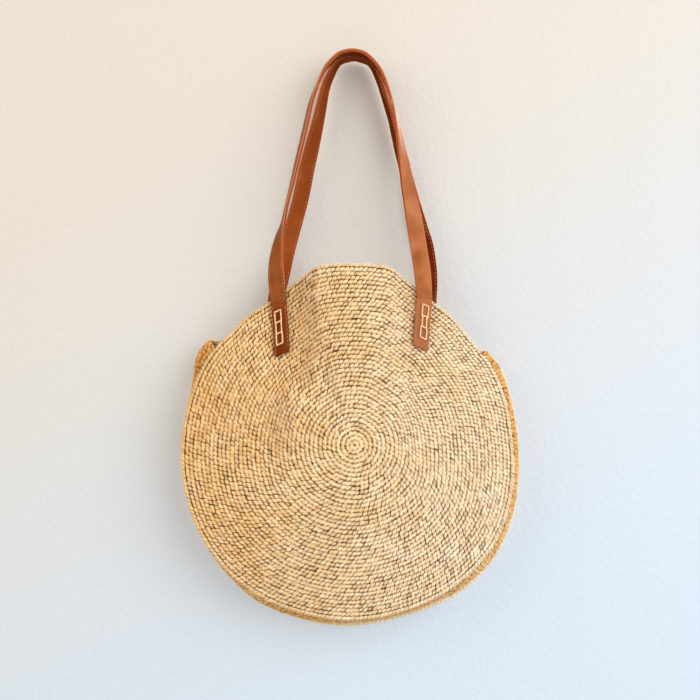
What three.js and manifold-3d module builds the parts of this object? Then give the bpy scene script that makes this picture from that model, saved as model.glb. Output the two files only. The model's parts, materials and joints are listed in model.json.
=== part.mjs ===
// Round raffia shoulder bag, hanging by its two leather straps.
// Millimetres, +Z up, +X to the right and -Y towards the viewer. The origin is the hang point:
// the underside of the straps at the top of their arch.
//
// Each crocheted panel is a flat disc that is bent to the shape in which the bag hangs. The disc's
// rim is described by stations: the angle from the top, clockwise as the viewer sees it, how far the
// rim is drawn in from the flat circle, and the rim's depth along Y. The straps' ends are sewn flat
// on the panels, so each end has a seat: a small plane to which the panel settles.

import * as THREE from 'three';
import { mergeVertices } from 'three/addons/utils/BufferGeometryUtils.js';
import Module from 'manifold-3d';

const wasm = await Module();
wasm.setup();

// Crocheted panels
const PANEL_RADIUS = 195;
const PANEL_THICKNESS = 4;
const FRONT_CENTRE = new THREE.Vector3(2.4, -72, -431.3);
const BACK_CENTRE = new THREE.Vector3(3, 15, -442);
const MOUTH_HALF_ANGLE = 57.6;
const BACK_MOUTH_HALF_ANGLE = 55;
const MOUTH_SECTORS = 36;
const LOWER_SECTORS = 32;
const FRONT_RINGS = [0.18, 0.34, 0.48, 0.6, 0.7, 0.79, 0.89, 1];
const BACK_RINGS = [0.4, 0.68, 0.85, 1];

// Bending of the panels between the centre and the rim
const DEPTH_POWER = 1.9;
const DRAW_POWER = 1.5;
const BACK_DEPTH_POWER = 3;
const STRAP_FOLDS = [
  { from: 32, to: 122, share: 0.25, offset: 63 },
  { from: 238, to: 324, share: 0.3, offset: 82 },
];
const FOLD_SPAN = 0.24;

// Seams, mouth edging and gusset
const SEAM_RADIUS = 2.6;
const EDGING_RADIUS = 2;
const CORD_SIDES = 6;
const GUSSET_THICKNESS = 3.4;
const GUSSET_STRIPS = 5;
const CORNER_CLEARANCE_ANGLE = 1.2;

// Leather straps and their laced ends
const STRAP_WIDTH = 18.4;
const TAB_WIDTH = 17;
const TAPER_LENGTH = 32;
const OUTER_PLY = 1.8;
const LINING_PLY = 1.5;
const BEARING_LENGTH = 5;
const STRAP_STEPS = 1.5;
const TAB_LENGTH = 56;
const TAB_SLANT = 6.4;
const TAB_CORNER = 2.5;
const PATCH_WIDTH = 23;
const PATCH_THICKNESS = 1.6;
const PATCH_TOP = 2.5;
const PATCH_BOTTOM = 54;
const PATCH_CORNER = 4;

// Ladder lacing
const THREAD_RADIUS = 0.75;
const THREAD_SIDES = 6;
const HOLE_RADIUS = 1.25;
const HOLE_SIDES = 6;
const LADDER_WIDTH = 6.6;
const RUNGS = 4;
const RUNG_PITCH = 12.4;
const FIRST_RUNG = 8;
const LADDER_OFFSET = 2;

// Clearance between pieces that lie on each other
const GAP = 0.3;
const RIM_GAP = 0.6;

const STRAP_THICKNESS = OUTER_PLY + GAP + LINING_PLY;
const DEGREES = Math.PI / 180;
const X_AXIS = new THREE.Vector3(1, 0, 0);
const Y_AXIS = new THREE.Vector3(0, 1, 0);
const Z_AXIS = new THREE.Vector3(0, 0, 1);

// Angle, draw-in and depth of the front panel's rim
const FRONT_RIM = [
  [0, 7, -60], [13, 6.8, -53], [17, 11.5, -42], [20, 14.8, -32], [23, 17.8, -25], [27, 21.5, -21],
  [32, 24, -20], [40, 25.4, -19], [46, 27.6, -18], [54, 28, -17], [60, 26.6, -17],
  [68, 25.7, -17], [76, 25.5, -18], [88, 24.7, -19.5], [96, 22, -21], [104, 18, -22.5],
  [112, 14, -24], [121, 9.8, -26], [130, 7.3, -28], [148, 6.5, -32], [162, 6.3, -33],
  [180, 4.5, -34], [195, 3.6, -35], [210, 1.6, -35], [225, 1.2, -34], [240, 3, -33],
  [255, 6.4, -31], [263, 8.4, -30.5], [271, 10.6, -30], [280, 12.2, -29], [290, 13, -28],
  [299, 13.8, -26], [306, 16, -24.5], [311, 18, -22], [317, 17.8, -21], [323, 19, -20.5],
  [328, 19.6, -21], [333, 17.8, -22], [337, 14.4, -25], [341.5, 10.2, -36], [346, 6, -49],
  [354, 6.2, -59],
];

// Angle, draw-in and depth of the back panel's rim
const BACK_RIM = [
  [0, 4.5, 12], [15, 7, 12], [29, 15.5, 13], [43, 22, 12], [50, 21, 10], [55, 15.5, 9],
  [60, 13, 9], [66, 13.4, 9], [74, 15.7, 9], [84, 15.8, 9], [93, 14.6, 9], [100, 12.2, 9.5],
  [108, 8, 10], [116, 3.4, 10], [123, 0.4, 10.5], [131, -2.6, 11], [146, -3, 12], [156, 0, 12],
  [168, 0.3, 12], [180, -2, 12], [195, -3.5, 12], [210, -4, 12], [222, -1.8, 12], [234, 1.6, 12],
  [255, 6.5, 11], [270, 9, 10], [285, 6.5, 9], [295, 2, 8], [305, -4.5, 8], [309, 8, 9],
  [313, 15, 10], [321, 18, 12], [331, 15.5, 13], [345, 7, 12],
];

// Angle and outward bulge of the gusset, half-way between the panels
const GUSSET_BULGE = [
  [0, 6], [57, 4], [75, 3.5], [100, 3.5], [130, 3], [155, 1], [180, 1], [200, 4], [212, 5.5],
  [225, 4], [240, 2.5], [260, 1], [284, 0], [289, 2], [293, 5], [297, 8], [300, 8], [303, 6],
];

// Seats of the straps' ends: the middle of the fold line on the panel's middle surface, how far the
// plane leans from upright, the slant of the strap across it, and which way faces outwards.
const SEATS = {
  front_left: { x: -80.4, y: -22, z: -282, lean: 12, slant: 4.6, outward: -1, outerSide: -1 },
  front_right: { x: 79.7, y: -22, z: -275.8, lean: 12, slant: -5.5, outward: -1, outerSide: 1 },
  rear_left: { x: -88, y: 13, z: -284, lean: 0, slant: -2, outward: 1, outerSide: 1 },
  rear_right: { x: 88.4, y: 13, z: -284, lean: 0, slant: 2, outward: 1, outerSide: -1 },
};
const SEAT_SIDE_MARGIN = 13;
const SEAT_LOWER_MARGIN = 18;
const SEAT_UPPER_MARGIN = 34;
const SEAT_FALLOFF = 24;

// Straps from fold to arch: x, y, z and the turn of the leather about its own run, in degrees.
// The leather lies edge-on at the arch and turns a quarter way round to lie flat on its panel.
const FRONT_STRAP = {
  arch: new THREE.Vector3(0, -10.5, 1.8),
  left: [
    [-82.4, -24.8, -266, 87], [-83.8, -23.8, -249, 73], [-83.8, -22.9, -233, 56],
    [-82, -22, -217, 41], [-79.6, -21.3, -203, 25], [-76.4, -20.6, -191, 13],
    [-72, -19.2, -169, 8], [-66.2, -17.6, -145, 11], [-60.6, -16.3, -120, 13.5],
    [-55.2, -15.1, -97, 14], [-50.2, -14, -75, 14], [-45, -13, -52.5, 12], [-36.4, -12.1, -30, 7],
    [-30, -11.5, -16.6, 5], [-22.4, -11, -7.8, 3], [-13.2, -10.7, -0.9, 1],
  ],
  right: [
    [79.2, -24.9, -263, 90], [77.4, -23.6, -243, 90], [73.6, -22.3, -218, 88],
    [69.9, -21.4, -194, 82], [65.9, -20.4, -171, 62], [61.3, -19, -148, 47], [58.1, -17.8, -125, 38],
    [54.4, -16.3, -103, 25], [51, -15.2, -84, 17], [47.2, -14.2, -66, 9], [42.6, -13, -48, 6],
    [37.3, -12.2, -31.6, 5.5], [31.4, -11.6, -18.8, 5], [23.2, -11, -8.7, 3], [13.4, -10.7, -1, 1],
  ],
};
const REAR_STRAP = {
  arch: new THREE.Vector3(2.5, 9.5, 2.4),
  left: [
    [-87.2, 16.8, -270, -90], [-81.8, 16.7, -250, -90], [-76.6, 16.4, -226, -90],
    [-70.6, 15.8, -202, -89], [-65.2, 15, -182, -85], [-58.5, 14.2, -156, -77],
    [-52.3, 13.4, -126, -64], [-46.3, 12.6, -101, -52], [-40.7, 12, -78, -40],
    [-35.5, 11.3, -55, -30], [-30.8, 10.7, -33, -22], [-25.2, 10.2, -18.5, -16],
    [-14.8, 9.8, -2, -7],
  ],
  right: [
    [88.5, 16.8, -270, -90], [88.8, 16.7, -256, -90], [88, 16.3, -237, -88], [84.2, 15.7, -212, -84],
    [78, 14.9, -192, -77], [71.4, 14.2, -170, -64], [65.4, 13.6, -147, -48], [59.8, 13, -122, -31],
    [54, 12.4, -103, -21], [49.4, 12, -86.5, -13], [45, 11.5, -68, -10], [40.2, 11, -52, -9],
    [35.6, 10.6, -37, -8], [29.6, 10.2, -19.5, -8], [20.6, 9.8, -3, -6],
  ],
};

// Finishes
const raffia = new THREE.MeshStandardMaterial({ color: 0xdcb478, roughness: 0.75, metalness: 0 });
const raffiaGold = new THREE.MeshStandardMaterial({ color: 0xcf9d56, roughness: 0.75, metalness: 0 });
const leather = new THREE.MeshStandardMaterial({ color: 0xa4592b, roughness: 0.45, metalness: 0 });
const lining = new THREE.MeshStandardMaterial({ color: 0x8a4a26, roughness: 0.6, metalness: 0 });
const thread = new THREE.MeshStandardMaterial({ color: 0xf3cfa2, roughness: 0.6, metalness: 0 });

// Smooth value between stations that repeat every turn (cubic Hermite with averaged slopes)
function stationValue(stations, column, angle) {
  const count = stations.length;
  const turn = ((angle % 360) + 360) % 360;
  const at = (index) => {
    const wraps = Math.floor(index / count);
    const row = stations[index - wraps * count];
    return { angle: row[0] + wraps * 360, value: row[column] };
  };
  const slope = (index) => {
    const before = at(index - 1);
    const after = at(index + 1);
    return (after.value - before.value) / (after.angle - before.angle);
  };
  let index = count - 1;
  while (index > 0 && stations[index][0] > turn) index -= 1;
  const start = at(index);
  const end = at(index + 1);
  const span = end.angle - start.angle;
  const t = (turn - start.angle) / span;
  const keepStart = 1 + t * t * (2 * t - 3);
  const rise = t * (1 + t * (t - 2)) * span * slope(index);
  const fall = t * t * (t - 1) * span * slope(index + 1);
  return keepStart * start.value + (1 - keepStart) * end.value + rise + fall;
}

function smoothStep(value) {
  const t = Math.min(Math.max(value, 0), 1);
  return t * t * (3 - 2 * t);
}

// Plane of a strap's end: right-handed frame (across, up, out) on the panel's middle surface
function seatFrame(seat) {
  const lean = seat.lean * DEGREES;
  const up = new THREE.Vector3(0, -seat.outward * Math.sin(lean), Math.cos(lean));
  const out = new THREE.Vector3(0, seat.outward * Math.cos(lean), Math.sin(lean));
  const across = up.clone().cross(out);
  return { origin: new THREE.Vector3(seat.x, seat.y, seat.z), across, up, out };
}

function seatMatrix(seat) {
  const { origin, across, up, out } = seatFrame(seat);
  const slant = new THREE.Matrix4().makeRotationZ(seat.slant * DEGREES);
  return new THREE.Matrix4().makeBasis(across, up, out).setPosition(origin).multiply(slant);
}

// How strongly a panel follows a seat's plane at a place: 1 under the strap's end, 0 away from it
function seatWeight(seat, x, z) {
  const side = Math.abs(x - seat.x) - TAB_WIDTH / 2 - SEAT_SIDE_MARGIN;
  const below = seat.z - TAB_LENGTH - SEAT_LOWER_MARGIN - z;
  const above = z - seat.z - SEAT_UPPER_MARGIN;
  const distance = Math.hypot(Math.max(side, 0), Math.max(below, above, 0));
  return 1 - smoothStep(distance / SEAT_FALLOFF);
}

class HungPanel {
  constructor(shape) {
    Object.assign(this, shape);
  }

  // Angle on this panel that belongs to a sector, so that the mouth's corners meet
  ownAngle(sector) {
    const turn = ((sector + 540) % 360) - 180;
    const size = Math.abs(turn);
    const lower = (180 - this.mouthHalfAngle) / (180 - MOUTH_HALF_ANGLE);
    const upper = this.mouthHalfAngle / MOUTH_HALF_ANGLE;
    return Math.sign(turn) * (size < MOUTH_HALF_ANGLE ? size * upper : 180 - (180 - size) * lower);
  }

  // Share of the rim's draw-in or depth that is reached at a share of the radius
  reach(share, angle, power) {
    let straight = 1;
    let folded = 0;
    for (const fold of this.folds) {
      if (angle <= fold.from || angle >= fold.to) continue;
      const window = Math.sin(Math.PI * (angle - fold.from) / (fold.to - fold.from));
      const weight = fold.share * smoothStep(window * 1.5);
      const place = fold.offset / (PANEL_RADIUS * Math.abs(Math.sin(angle * DEGREES)));
      const centreShare = Math.min(place, 1 - FOLD_SPAN / 2);
      straight -= weight;
      folded += weight * smoothStep((share - centreShare) / FOLD_SPAN + 0.5);
    }
    return straight * share ** power + folded;
  }

  // Middle surface over the flat disc's own coordinates
  middle(right, up) {
    const radius = Math.hypot(right, up);
    const angle = (Math.atan2(right, up) / DEGREES + 360) % 360;
    const share = radius / PANEL_RADIUS;
    const hung = radius - stationValue(this.rim, 1, angle) * this.reach(share, angle, DRAW_POWER);
    const x = this.centre.x + hung * Math.sin(angle * DEGREES);
    const z = this.centre.z + hung * Math.cos(angle * DEGREES);
    const depth = stationValue(this.rim, 2, angle) - this.centre.y;
    let y = this.centre.y + depth * this.reach(share, angle, this.depthPower);
    for (const seat of this.seats) {
      const planeY = seat.y - seat.outward * Math.tan(seat.lean * DEGREES) * (z - seat.z);
      y += (planeY - y) * seatWeight(seat, x, z);
    }
    return new THREE.Vector3(x, y, z);
  }

  outwardNormal(right, up) {
    const step = 1;
    const acrossRight = this.middle(right + step, up).sub(this.middle(right - step, up));
    const acrossUp = this.middle(right, up + step).sub(this.middle(right, up - step));
    return acrossRight.cross(acrossUp).normalize().multiplyScalar(-this.outward);
  }

  // Point at a radius and sector of the flat disc, lifted off the middle surface
  point(radius, sector, lift = 0) {
    const angle = this.ownAngle(sector) * DEGREES;
    const right = radius * Math.sin(angle);
    const up = radius * Math.cos(angle);
    return this.middle(right, up).addScaledVector(this.outwardNormal(right, up), lift);
  }

  // Right-handed frame (away from the panel, along the rim, through the panel) at the rim
  rimFrame(angle) {
    const origin = this.point(PANEL_RADIUS, angle);
    const along = this.point(PANEL_RADIUS, angle + 1).sub(this.point(PANEL_RADIUS, angle - 1));
    const lifted = this.point(PANEL_RADIUS, angle, this.outward).sub(origin);
    const away = along.clone().cross(lifted).normalize();
    return { origin, away, through: lifted.normalize() };
  }

  // Middle of a cord that lies along the rim, just off the panel's edge
  cordMiddle(angle, radius) {
    const { origin, away } = this.rimFrame(angle);
    return origin.addScaledVector(away, RIM_GAP + radius);
  }
}

const front = new HungPanel({
  centre: FRONT_CENTRE,
  rim: FRONT_RIM,
  rings: FRONT_RINGS,
  mouthHalfAngle: MOUTH_HALF_ANGLE,
  outward: -1,
  depthPower: DEPTH_POWER,
  folds: STRAP_FOLDS,
  seats: [SEATS.front_left, SEATS.front_right],
});
const back = new HungPanel({
  centre: BACK_CENTRE,
  rim: BACK_RIM,
  rings: BACK_RINGS,
  mouthHalfAngle: BACK_MOUTH_HALF_ANGLE,
  outward: 1,
  depthPower: BACK_DEPTH_POWER,
  folds: [],
  seats: [SEATS.rear_left, SEATS.rear_right],
});

// Angles of the panels' sectors, closer together along the mouth, where the straps are sewn
function sectorAngles() {
  const angles = [];
  for (let i = 0; i <= MOUTH_SECTORS; i += 1) {
    angles.push(-MOUTH_HALF_ANGLE + 2 * MOUTH_HALF_ANGLE * i / MOUTH_SECTORS);
  }
  const lowerSweep = 360 - 2 * MOUTH_HALF_ANGLE;
  for (let i = 1; i <= LOWER_SECTORS; i += 1) {
    angles.push(MOUTH_HALF_ANGLE + lowerSweep * i / LOWER_SECTORS);
  }
  return angles;
}

const ANGLES = sectorAngles();
const MOUTH_ANGLES = ANGLES.slice(0, MOUTH_SECTORS + 1);
const LOWER_ANGLES = ANGLES.slice(MOUTH_SECTORS);

// Closed mesh with shared vertices, from any geometry of the library
function closed(geometry) {
  const bare = geometry.clone();
  bare.deleteAttribute('normal');
  bare.deleteAttribute('uv');
  return mergeVertices(bare, 1e-4);
}

// Moves every vertex of a geometry by a rule
function bend(geometry, rule) {
  const bent = geometry.clone();
  const position = bent.attributes.position;
  const vertex = new THREE.Vector3();
  for (let i = 0; i < position.count; i += 1) {
    const moved = rule(vertex.fromBufferAttribute(position, i));
    position.setXYZ(i, moved.x, moved.y, moved.z);
  }
  return closed(bent);
}

function toSolid(geometry) {
  const vertProperties = new Float32Array(geometry.attributes.position.array);
  const triVerts = new Uint32Array(geometry.index.array);
  return new wasm.Manifold(new wasm.Mesh({ numProp: 3, vertProperties, triVerts }));
}

function toGeometry(solid) {
  const mesh = solid.getMesh();
  const geometry = new THREE.BufferGeometry();
  geometry.setAttribute('position', new THREE.BufferAttribute(new Float32Array(mesh.vertProperties), 3));
  geometry.setIndex(new THREE.BufferAttribute(new Uint32Array(mesh.triVerts), 1));
  return geometry;
}

// Flat crocheted disc, bent to its hanging shape
function panelGeometry(panel) {
  const half = PANEL_THICKNESS / 2;
  const profile = [new THREE.Vector2(0, -half)];
  for (const ring of panel.rings) profile.push(new THREE.Vector2(ring * PANEL_RADIUS, -half));
  for (const ring of [...panel.rings].reverse()) {
    profile.push(new THREE.Vector2(ring * PANEL_RADIUS, half));
  }
  profile.push(new THREE.Vector2(0, half));
  const sectors = MOUTH_SECTORS + LOWER_SECTORS;
  const disc = new THREE.LatheGeometry(profile, sectors);
  return bend(disc, (vertex) => {
    const radius = Math.hypot(vertex.x, vertex.z);
    const turn = (Math.atan2(vertex.x, vertex.z) / (2 * Math.PI) + 1) % 1;
    const angle = ANGLES[Math.round(turn * sectors) % sectors];
    return panel.point(radius, angle, panel.outward * vertex.y);
  });
}

// Hole of the lacing in a seat's own plane; the rungs slope like the cut end of the strap
function holePlace(seat, side, rung) {
  const slope = seat.outerSide * TAB_SLANT / TAB_WIDTH;
  const across = side * LADDER_WIDTH / 2;
  const x = across + seat.outerSide * LADDER_OFFSET;
  return new THREE.Vector2(x, -FIRST_RUNG - rung * RUNG_PITCH - across * slope);
}

function holePlaces(seat) {
  const places = [];
  for (let rung = 0; rung < RUNGS; rung += 1) {
    for (const side of [-1, 1]) places.push(holePlace(seat, side, rung));
  }
  return places;
}

function punch(geometry, seats) {
  let solid = toSolid(geometry);
  for (const seat of seats) {
    for (const place of holePlaces(seat)) {
      const drill = new THREE.CylinderGeometry(HOLE_RADIUS, HOLE_RADIUS, 4 * PANEL_THICKNESS, HOLE_SIDES);
      drill.rotateX(Math.PI / 2);
      drill.translate(place.x, place.y, 0);
      drill.applyMatrix4(seatMatrix(seat));
      solid = solid.subtract(toSolid(closed(drill)));
    }
  }
  return toGeometry(solid);
}

// Round cord along a panel's rim, standing just off the panel's edge
function rimCord(panel, angles, radius) {
  const steps = angles.length - 1;
  const cord = new THREE.CylinderGeometry(1, 1, 1, CORD_SIDES, steps);
  return bend(cord, (vertex) => {
    const angle = angles[Math.round((vertex.y + 0.5) * steps)];
    const { away, through } = panel.rimFrame(angle);
    return panel.cordMiddle(angle, radius)
      .addScaledVector(away, radius * vertex.z)
      .addScaledVector(through, -radius * vertex.x);
  });
}

// Ends of a run of angles are held clear of the neighbour that starts at the same corner
function trimmed(angles) {
  const run = [...angles];
  run[0] += CORNER_CLEARANCE_ANGLE / 2;
  run[run.length - 1] -= CORNER_CLEARANCE_ANGLE / 2;
  return run;
}

// Crocheted band between the two seams, from one corner of the mouth round to the other
function gussetMiddle(angle, share) {
  const frontSeam = front.cordMiddle(angle, SEAM_RADIUS);
  const backSeam = back.cordMiddle(angle, SEAM_RADIUS);
  const bulge = 4 * stationValue(GUSSET_BULGE, 1, angle);
  const away = new THREE.Vector3(Math.sin(angle * DEGREES), 0, Math.cos(angle * DEGREES));
  const across = backSeam.clone().sub(frontSeam);
  const clearance = SEAM_RADIUS + RIM_GAP;
  const first = clearance / across.clone().addScaledVector(away, bulge).length();
  const last = 1 - clearance / across.clone().addScaledVector(away, -bulge).length();
  const place = first + (last - first) * share;
  return frontSeam.lerp(backSeam, place).addScaledVector(away, bulge * place * (1 - place));
}

function gussetGeometry() {
  const angles = trimmed(LOWER_ANGLES);
  const steps = angles.length - 1;
  const band = new THREE.BoxGeometry(1, 1, 1, steps, 1, GUSSET_STRIPS);
  return bend(band, (vertex) => {
    const angle = angles[Math.round((vertex.x + 0.5) * steps)];
    const share = 0.5 - vertex.z;
    const along = gussetMiddle(angle + 1, share).sub(gussetMiddle(angle - 1, share));
    const across = gussetMiddle(angle, share + 0.05).sub(gussetMiddle(angle, share - 0.05));
    const out = along.cross(across).normalize();
    return gussetMiddle(angle, share).addScaledVector(out, vertex.y * GUSSET_THICKNESS);
  });
}

// Cross-sections of a strap along one leg, from its fold to the flat bearing at the arch
function legSections(seat, stations, archMiddle, side) {
  const { across, up, out } = seatFrame(seat);
  const lift = PANEL_THICKNESS / 2 + GAP + STRAP_THICKNESS / 2;
  const slant = seat.slant * DEGREES;
  const run = up.clone().applyAxisAngle(out, slant);
  const width = across.clone().applyAxisAngle(out, slant);
  const fold = new THREE.Vector3(seat.x, seat.y, seat.z).addScaledVector(out, lift);
  fold.addScaledVector(run, GAP / 2);
  const arch = archMiddle.clone().addScaledVector(X_AXIS, side * BEARING_LENGTH / 2);
  const places = stations.map(([x, y, z]) => new THREE.Vector3(x, y, z));
  const route = new THREE.CatmullRomCurve3([fold, ...places, arch], false, 'catmullrom', 0.5);
  const lastTurn = -seat.outward * 90;
  const turns = [lastTurn, ...stations.map((station) => station[3]), 0];
  const turnRoute = new THREE.CatmullRomCurve3(
    turns.map((turn) => new THREE.Vector3(turn, 0, 0)), false, 'catmullrom', 0.5);
  const steps = Math.round((turns.length - 1) * STRAP_STEPS);
  const sections = [{ origin: fold, width: width.multiplyScalar(side), out, size: TAB_WIDTH }];
  for (let i = 1; i < steps; i += 1) {
    const tangent = route.getTangent(i / steps).multiplyScalar(-side);
    const turn = turnRoute.getPoint(i / steps).x * DEGREES;
    const wide = Y_AXIS.clone().addScaledVector(tangent, -tangent.y).normalize();
    wide.applyAxisAngle(tangent, turn);
    const normal = tangent.clone().cross(wide).normalize();
    const origin = route.getPoint(i / steps);
    const taper = smoothStep(origin.distanceTo(fold) / TAPER_LENGTH);
    const size = TAB_WIDTH + (STRAP_WIDTH - TAB_WIDTH) * taper;
    sections.push({ origin, width: wide, out: normal, size });
  }
  sections.push({ origin: arch, width: Y_AXIS.clone(), out: Z_AXIS.clone(), size: STRAP_WIDTH });
  return sections;
}

function strapSections(strap, leftSeat, rightSeat) {
  const left = legSections(leftSeat, strap.left, strap.arch, -1);
  const right = legSections(rightSeat, strap.right, strap.arch, 1);
  return [...left, ...right.reverse()];
}

// Flat strip of leather along the sections, between two heights of the strap's thickness. Both wide
// faces are split along the same diagonals, so that the two plies stay parallel where they twist.
function plyGeometry(sections, low, high) {
  const corners = [[0.5, high], [-0.5, high], [-0.5, low], [0.5, low]];
  const positions = [];
  for (const { origin, width, out, size } of sections) {
    for (const [across, height] of corners) {
      const corner = origin.clone().addScaledVector(width, across * size);
      corner.addScaledVector(out, height);
      positions.push(corner.x, corner.y, corner.z);
    }
  }
  const faces = [];
  for (let i = 0; i < sections.length - 1; i += 1) {
    const [a, b, c, d] = [4 * i, 4 * i + 1, 4 * i + 2, 4 * i + 3];
    const [e, f, g, h] = [a + 4, b + 4, c + 4, d + 4];
    faces.push(a, b, f, a, f, e);
    faces.push(b, c, g, b, g, f);
    faces.push(c, d, g, d, h, g);
    faces.push(d, a, e, d, e, h);
  }
  const last = positions.length / 3 - 4;
  faces.push(0, 2, 1, 0, 3, 2);
  faces.push(last, last + 1, last + 2, last, last + 2, last + 3);
  const geometry = new THREE.BufferGeometry();
  geometry.setAttribute('position', new THREE.Float32BufferAttribute(positions, 3));
  geometry.setIndex(faces);
  return geometry;
}

// Outline with four corners, each rounded by the same radius
function roundedOutline(corners, radius) {
  const outline = new THREE.Shape();
  corners.forEach((corner, index) => {
    const before = corners[(index + corners.length - 1) % corners.length];
    const after = corners[(index + 1) % corners.length];
    const round = radius[index];
    const enter = corner.clone().add(before.clone().sub(corner).setLength(round));
    const leave = corner.clone().add(after.clone().sub(corner).setLength(round));
    if (index === 0) outline.moveTo(enter.x, enter.y);
    else outline.lineTo(enter.x, enter.y);
    outline.quadraticCurveTo(corner.x, corner.y, leave.x, leave.y);
  });
  outline.closePath();
  return outline;
}

// Leather piece cut to an outline, punched for the lacing and laid at a height over its seat
function cutLeather(outline, seat, low, high) {
  for (const place of holePlaces(seat)) {
    const hole = new THREE.Path();
    hole.absarc(place.x, place.y, HOLE_RADIUS, 0, 2 * Math.PI, true);
    outline.holes.push(hole);
  }
  const options = { depth: high - low, bevelEnabled: false, curveSegments: HOLE_SIDES / 2 };
  const geometry = new THREE.ExtrudeGeometry(outline, options);
  geometry.translate(0, 0, low);
  geometry.applyMatrix4(seatMatrix(seat));
  return closed(geometry);
}

function tabGeometry(seat) {
  const half = TAB_WIDTH / 2;
  const drop = seat.outerSide * TAB_SLANT / 2;
  const corners = [
    new THREE.Vector2(-half, -GAP / 2), new THREE.Vector2(-half, -TAB_LENGTH + drop),
    new THREE.Vector2(half, -TAB_LENGTH - drop), new THREE.Vector2(half, -GAP / 2),
  ];
  const low = PANEL_THICKNESS / 2 + GAP;
  const outline = roundedOutline(corners, [0.2, TAB_CORNER, TAB_CORNER, 0.2]);
  return cutLeather(outline, seat, low, low + STRAP_THICKNESS);
}

function patchGeometry(seat) {
  const half = PATCH_WIDTH / 2;
  const corners = [
    new THREE.Vector2(-half, -PATCH_TOP), new THREE.Vector2(-half, -PATCH_BOTTOM),
    new THREE.Vector2(half, -PATCH_BOTTOM), new THREE.Vector2(half, -PATCH_TOP),
  ];
  const high = -PANEL_THICKNESS / 2 - GAP;
  const outline = roundedOutline(corners, Array(4).fill(PATCH_CORNER));
  return cutLeather(outline, seat, high - PATCH_THICKNESS, high);
}

// Straight length of thread between two places of a seat's frame
function threadLength(from, to) {
  const length = from.distanceTo(to);
  const stitch = new THREE.CylinderGeometry(THREAD_RADIUS, THREAD_RADIUS, length, THREAD_SIDES);
  const turn = new THREE.Quaternion().setFromUnitVectors(Y_AXIS, to.clone().sub(from).normalize());
  stitch.applyQuaternion(turn);
  const middle = from.clone().add(to).multiplyScalar(0.5);
  stitch.translate(middle.x, middle.y, middle.z);
  return stitch;
}

// Ladder lacing: two rails and four rungs outside, legs through the holes, two rails inside
function lacingGeometry(seat) {
  const outside = PANEL_THICKNESS / 2 + GAP + STRAP_THICKNESS + GAP + THREAD_RADIUS;
  const inside = -(PANEL_THICKNESS / 2 + GAP + PATCH_THICKNESS + GAP + THREAD_RADIUS);
  const at = (side, rung, height, past = 0) => {
    const place = holePlace(seat, side, rung);
    return new THREE.Vector3(place.x, place.y + past * THREAD_RADIUS, height);
  };
  const last = RUNGS - 1;
  const lengths = [];
  for (const side of [-1, 1]) {
    for (const height of [outside, inside]) {
      lengths.push([at(side, last, height, -1), at(side, 0, height, 1)]);
    }
    for (let rung = 0; rung < RUNGS; rung += 1) {
      lengths.push([at(side, rung, inside), at(side, rung, outside)]);
    }
  }
  for (let rung = 0; rung < RUNGS; rung += 1) {
    lengths.push([at(-1, rung, outside), at(1, rung, outside)]);
  }
  const solids = lengths.map(([from, to]) => {
    const stitch = threadLength(from, to);
    stitch.applyMatrix4(seatMatrix(seat));
    return toSolid(closed(stitch));
  });
  return toGeometry(solids.reduce((whole, stitch) => whole.add(stitch)));
}

const bag = new THREE.Group();
bag.name = 'raffia_shoulder_bag';

function addPiece(name, geometry, material) {
  const mesh = new THREE.Mesh(geometry, material);
  mesh.name = name;
  bag.add(mesh);
}

// Crocheted body
addPiece('front_panel', punch(panelGeometry(front), front.seats), raffia);
addPiece('back_panel', punch(panelGeometry(back), back.seats), raffia);
addPiece('gusset', gussetGeometry(), raffiaGold);
addPiece('front_seam', rimCord(front, LOWER_ANGLES, SEAM_RADIUS), raffia);
addPiece('rear_seam', rimCord(back, LOWER_ANGLES, SEAM_RADIUS), raffia);
addPiece('front_mouth_edging', rimCord(front, trimmed(MOUTH_ANGLES), EDGING_RADIUS), raffia);
addPiece('rear_mouth_edging', rimCord(back, trimmed(MOUTH_ANGLES), EDGING_RADIUS), raffia);

// Straps, each of an outer ply and a lining
const frontSections = strapSections(FRONT_STRAP, SEATS.front_left, SEATS.front_right);
const rearSections = strapSections(REAR_STRAP, SEATS.rear_left, SEATS.rear_right);
for (const [name, sections] of [['front', frontSections], ['rear', rearSections]]) {
  const inner = -STRAP_THICKNESS / 2;
  const outer = STRAP_THICKNESS / 2;
  addPiece(`${name}_strap_outer`, plyGeometry(sections, outer - OUTER_PLY, outer), leather);
  addPiece(`${name}_strap_lining`, plyGeometry(sections, inner, inner + LINING_PLY), lining);
}

// Sewn ends, backing patches and lacings
for (const [place, seat] of Object.entries(SEATS)) {
  addPiece(`${place}_tab`, tabGeometry(seat), leather);
  addPiece(`${place}_patch`, patchGeometry(seat), lining);
  addPiece(`${place}_lacing`, lacingGeometry(seat), thread);
}

export default bag;
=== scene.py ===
"""Looks of a round crocheted raffia shoulder bag that hangs by its two leather straps.

The crochet is made of real stitches: each round is worked flat and the flat disc is then bent to the
shape in which the bag hangs. Lengths are millimetres until a mesh is placed, and then metres.
"""

import json
import logging
import math
from collections.abc import Callable
from dataclasses import dataclass, field
from enum import Enum

import bmesh
import bpy
import numpy as np
from mathutils import Matrix, Vector

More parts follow.
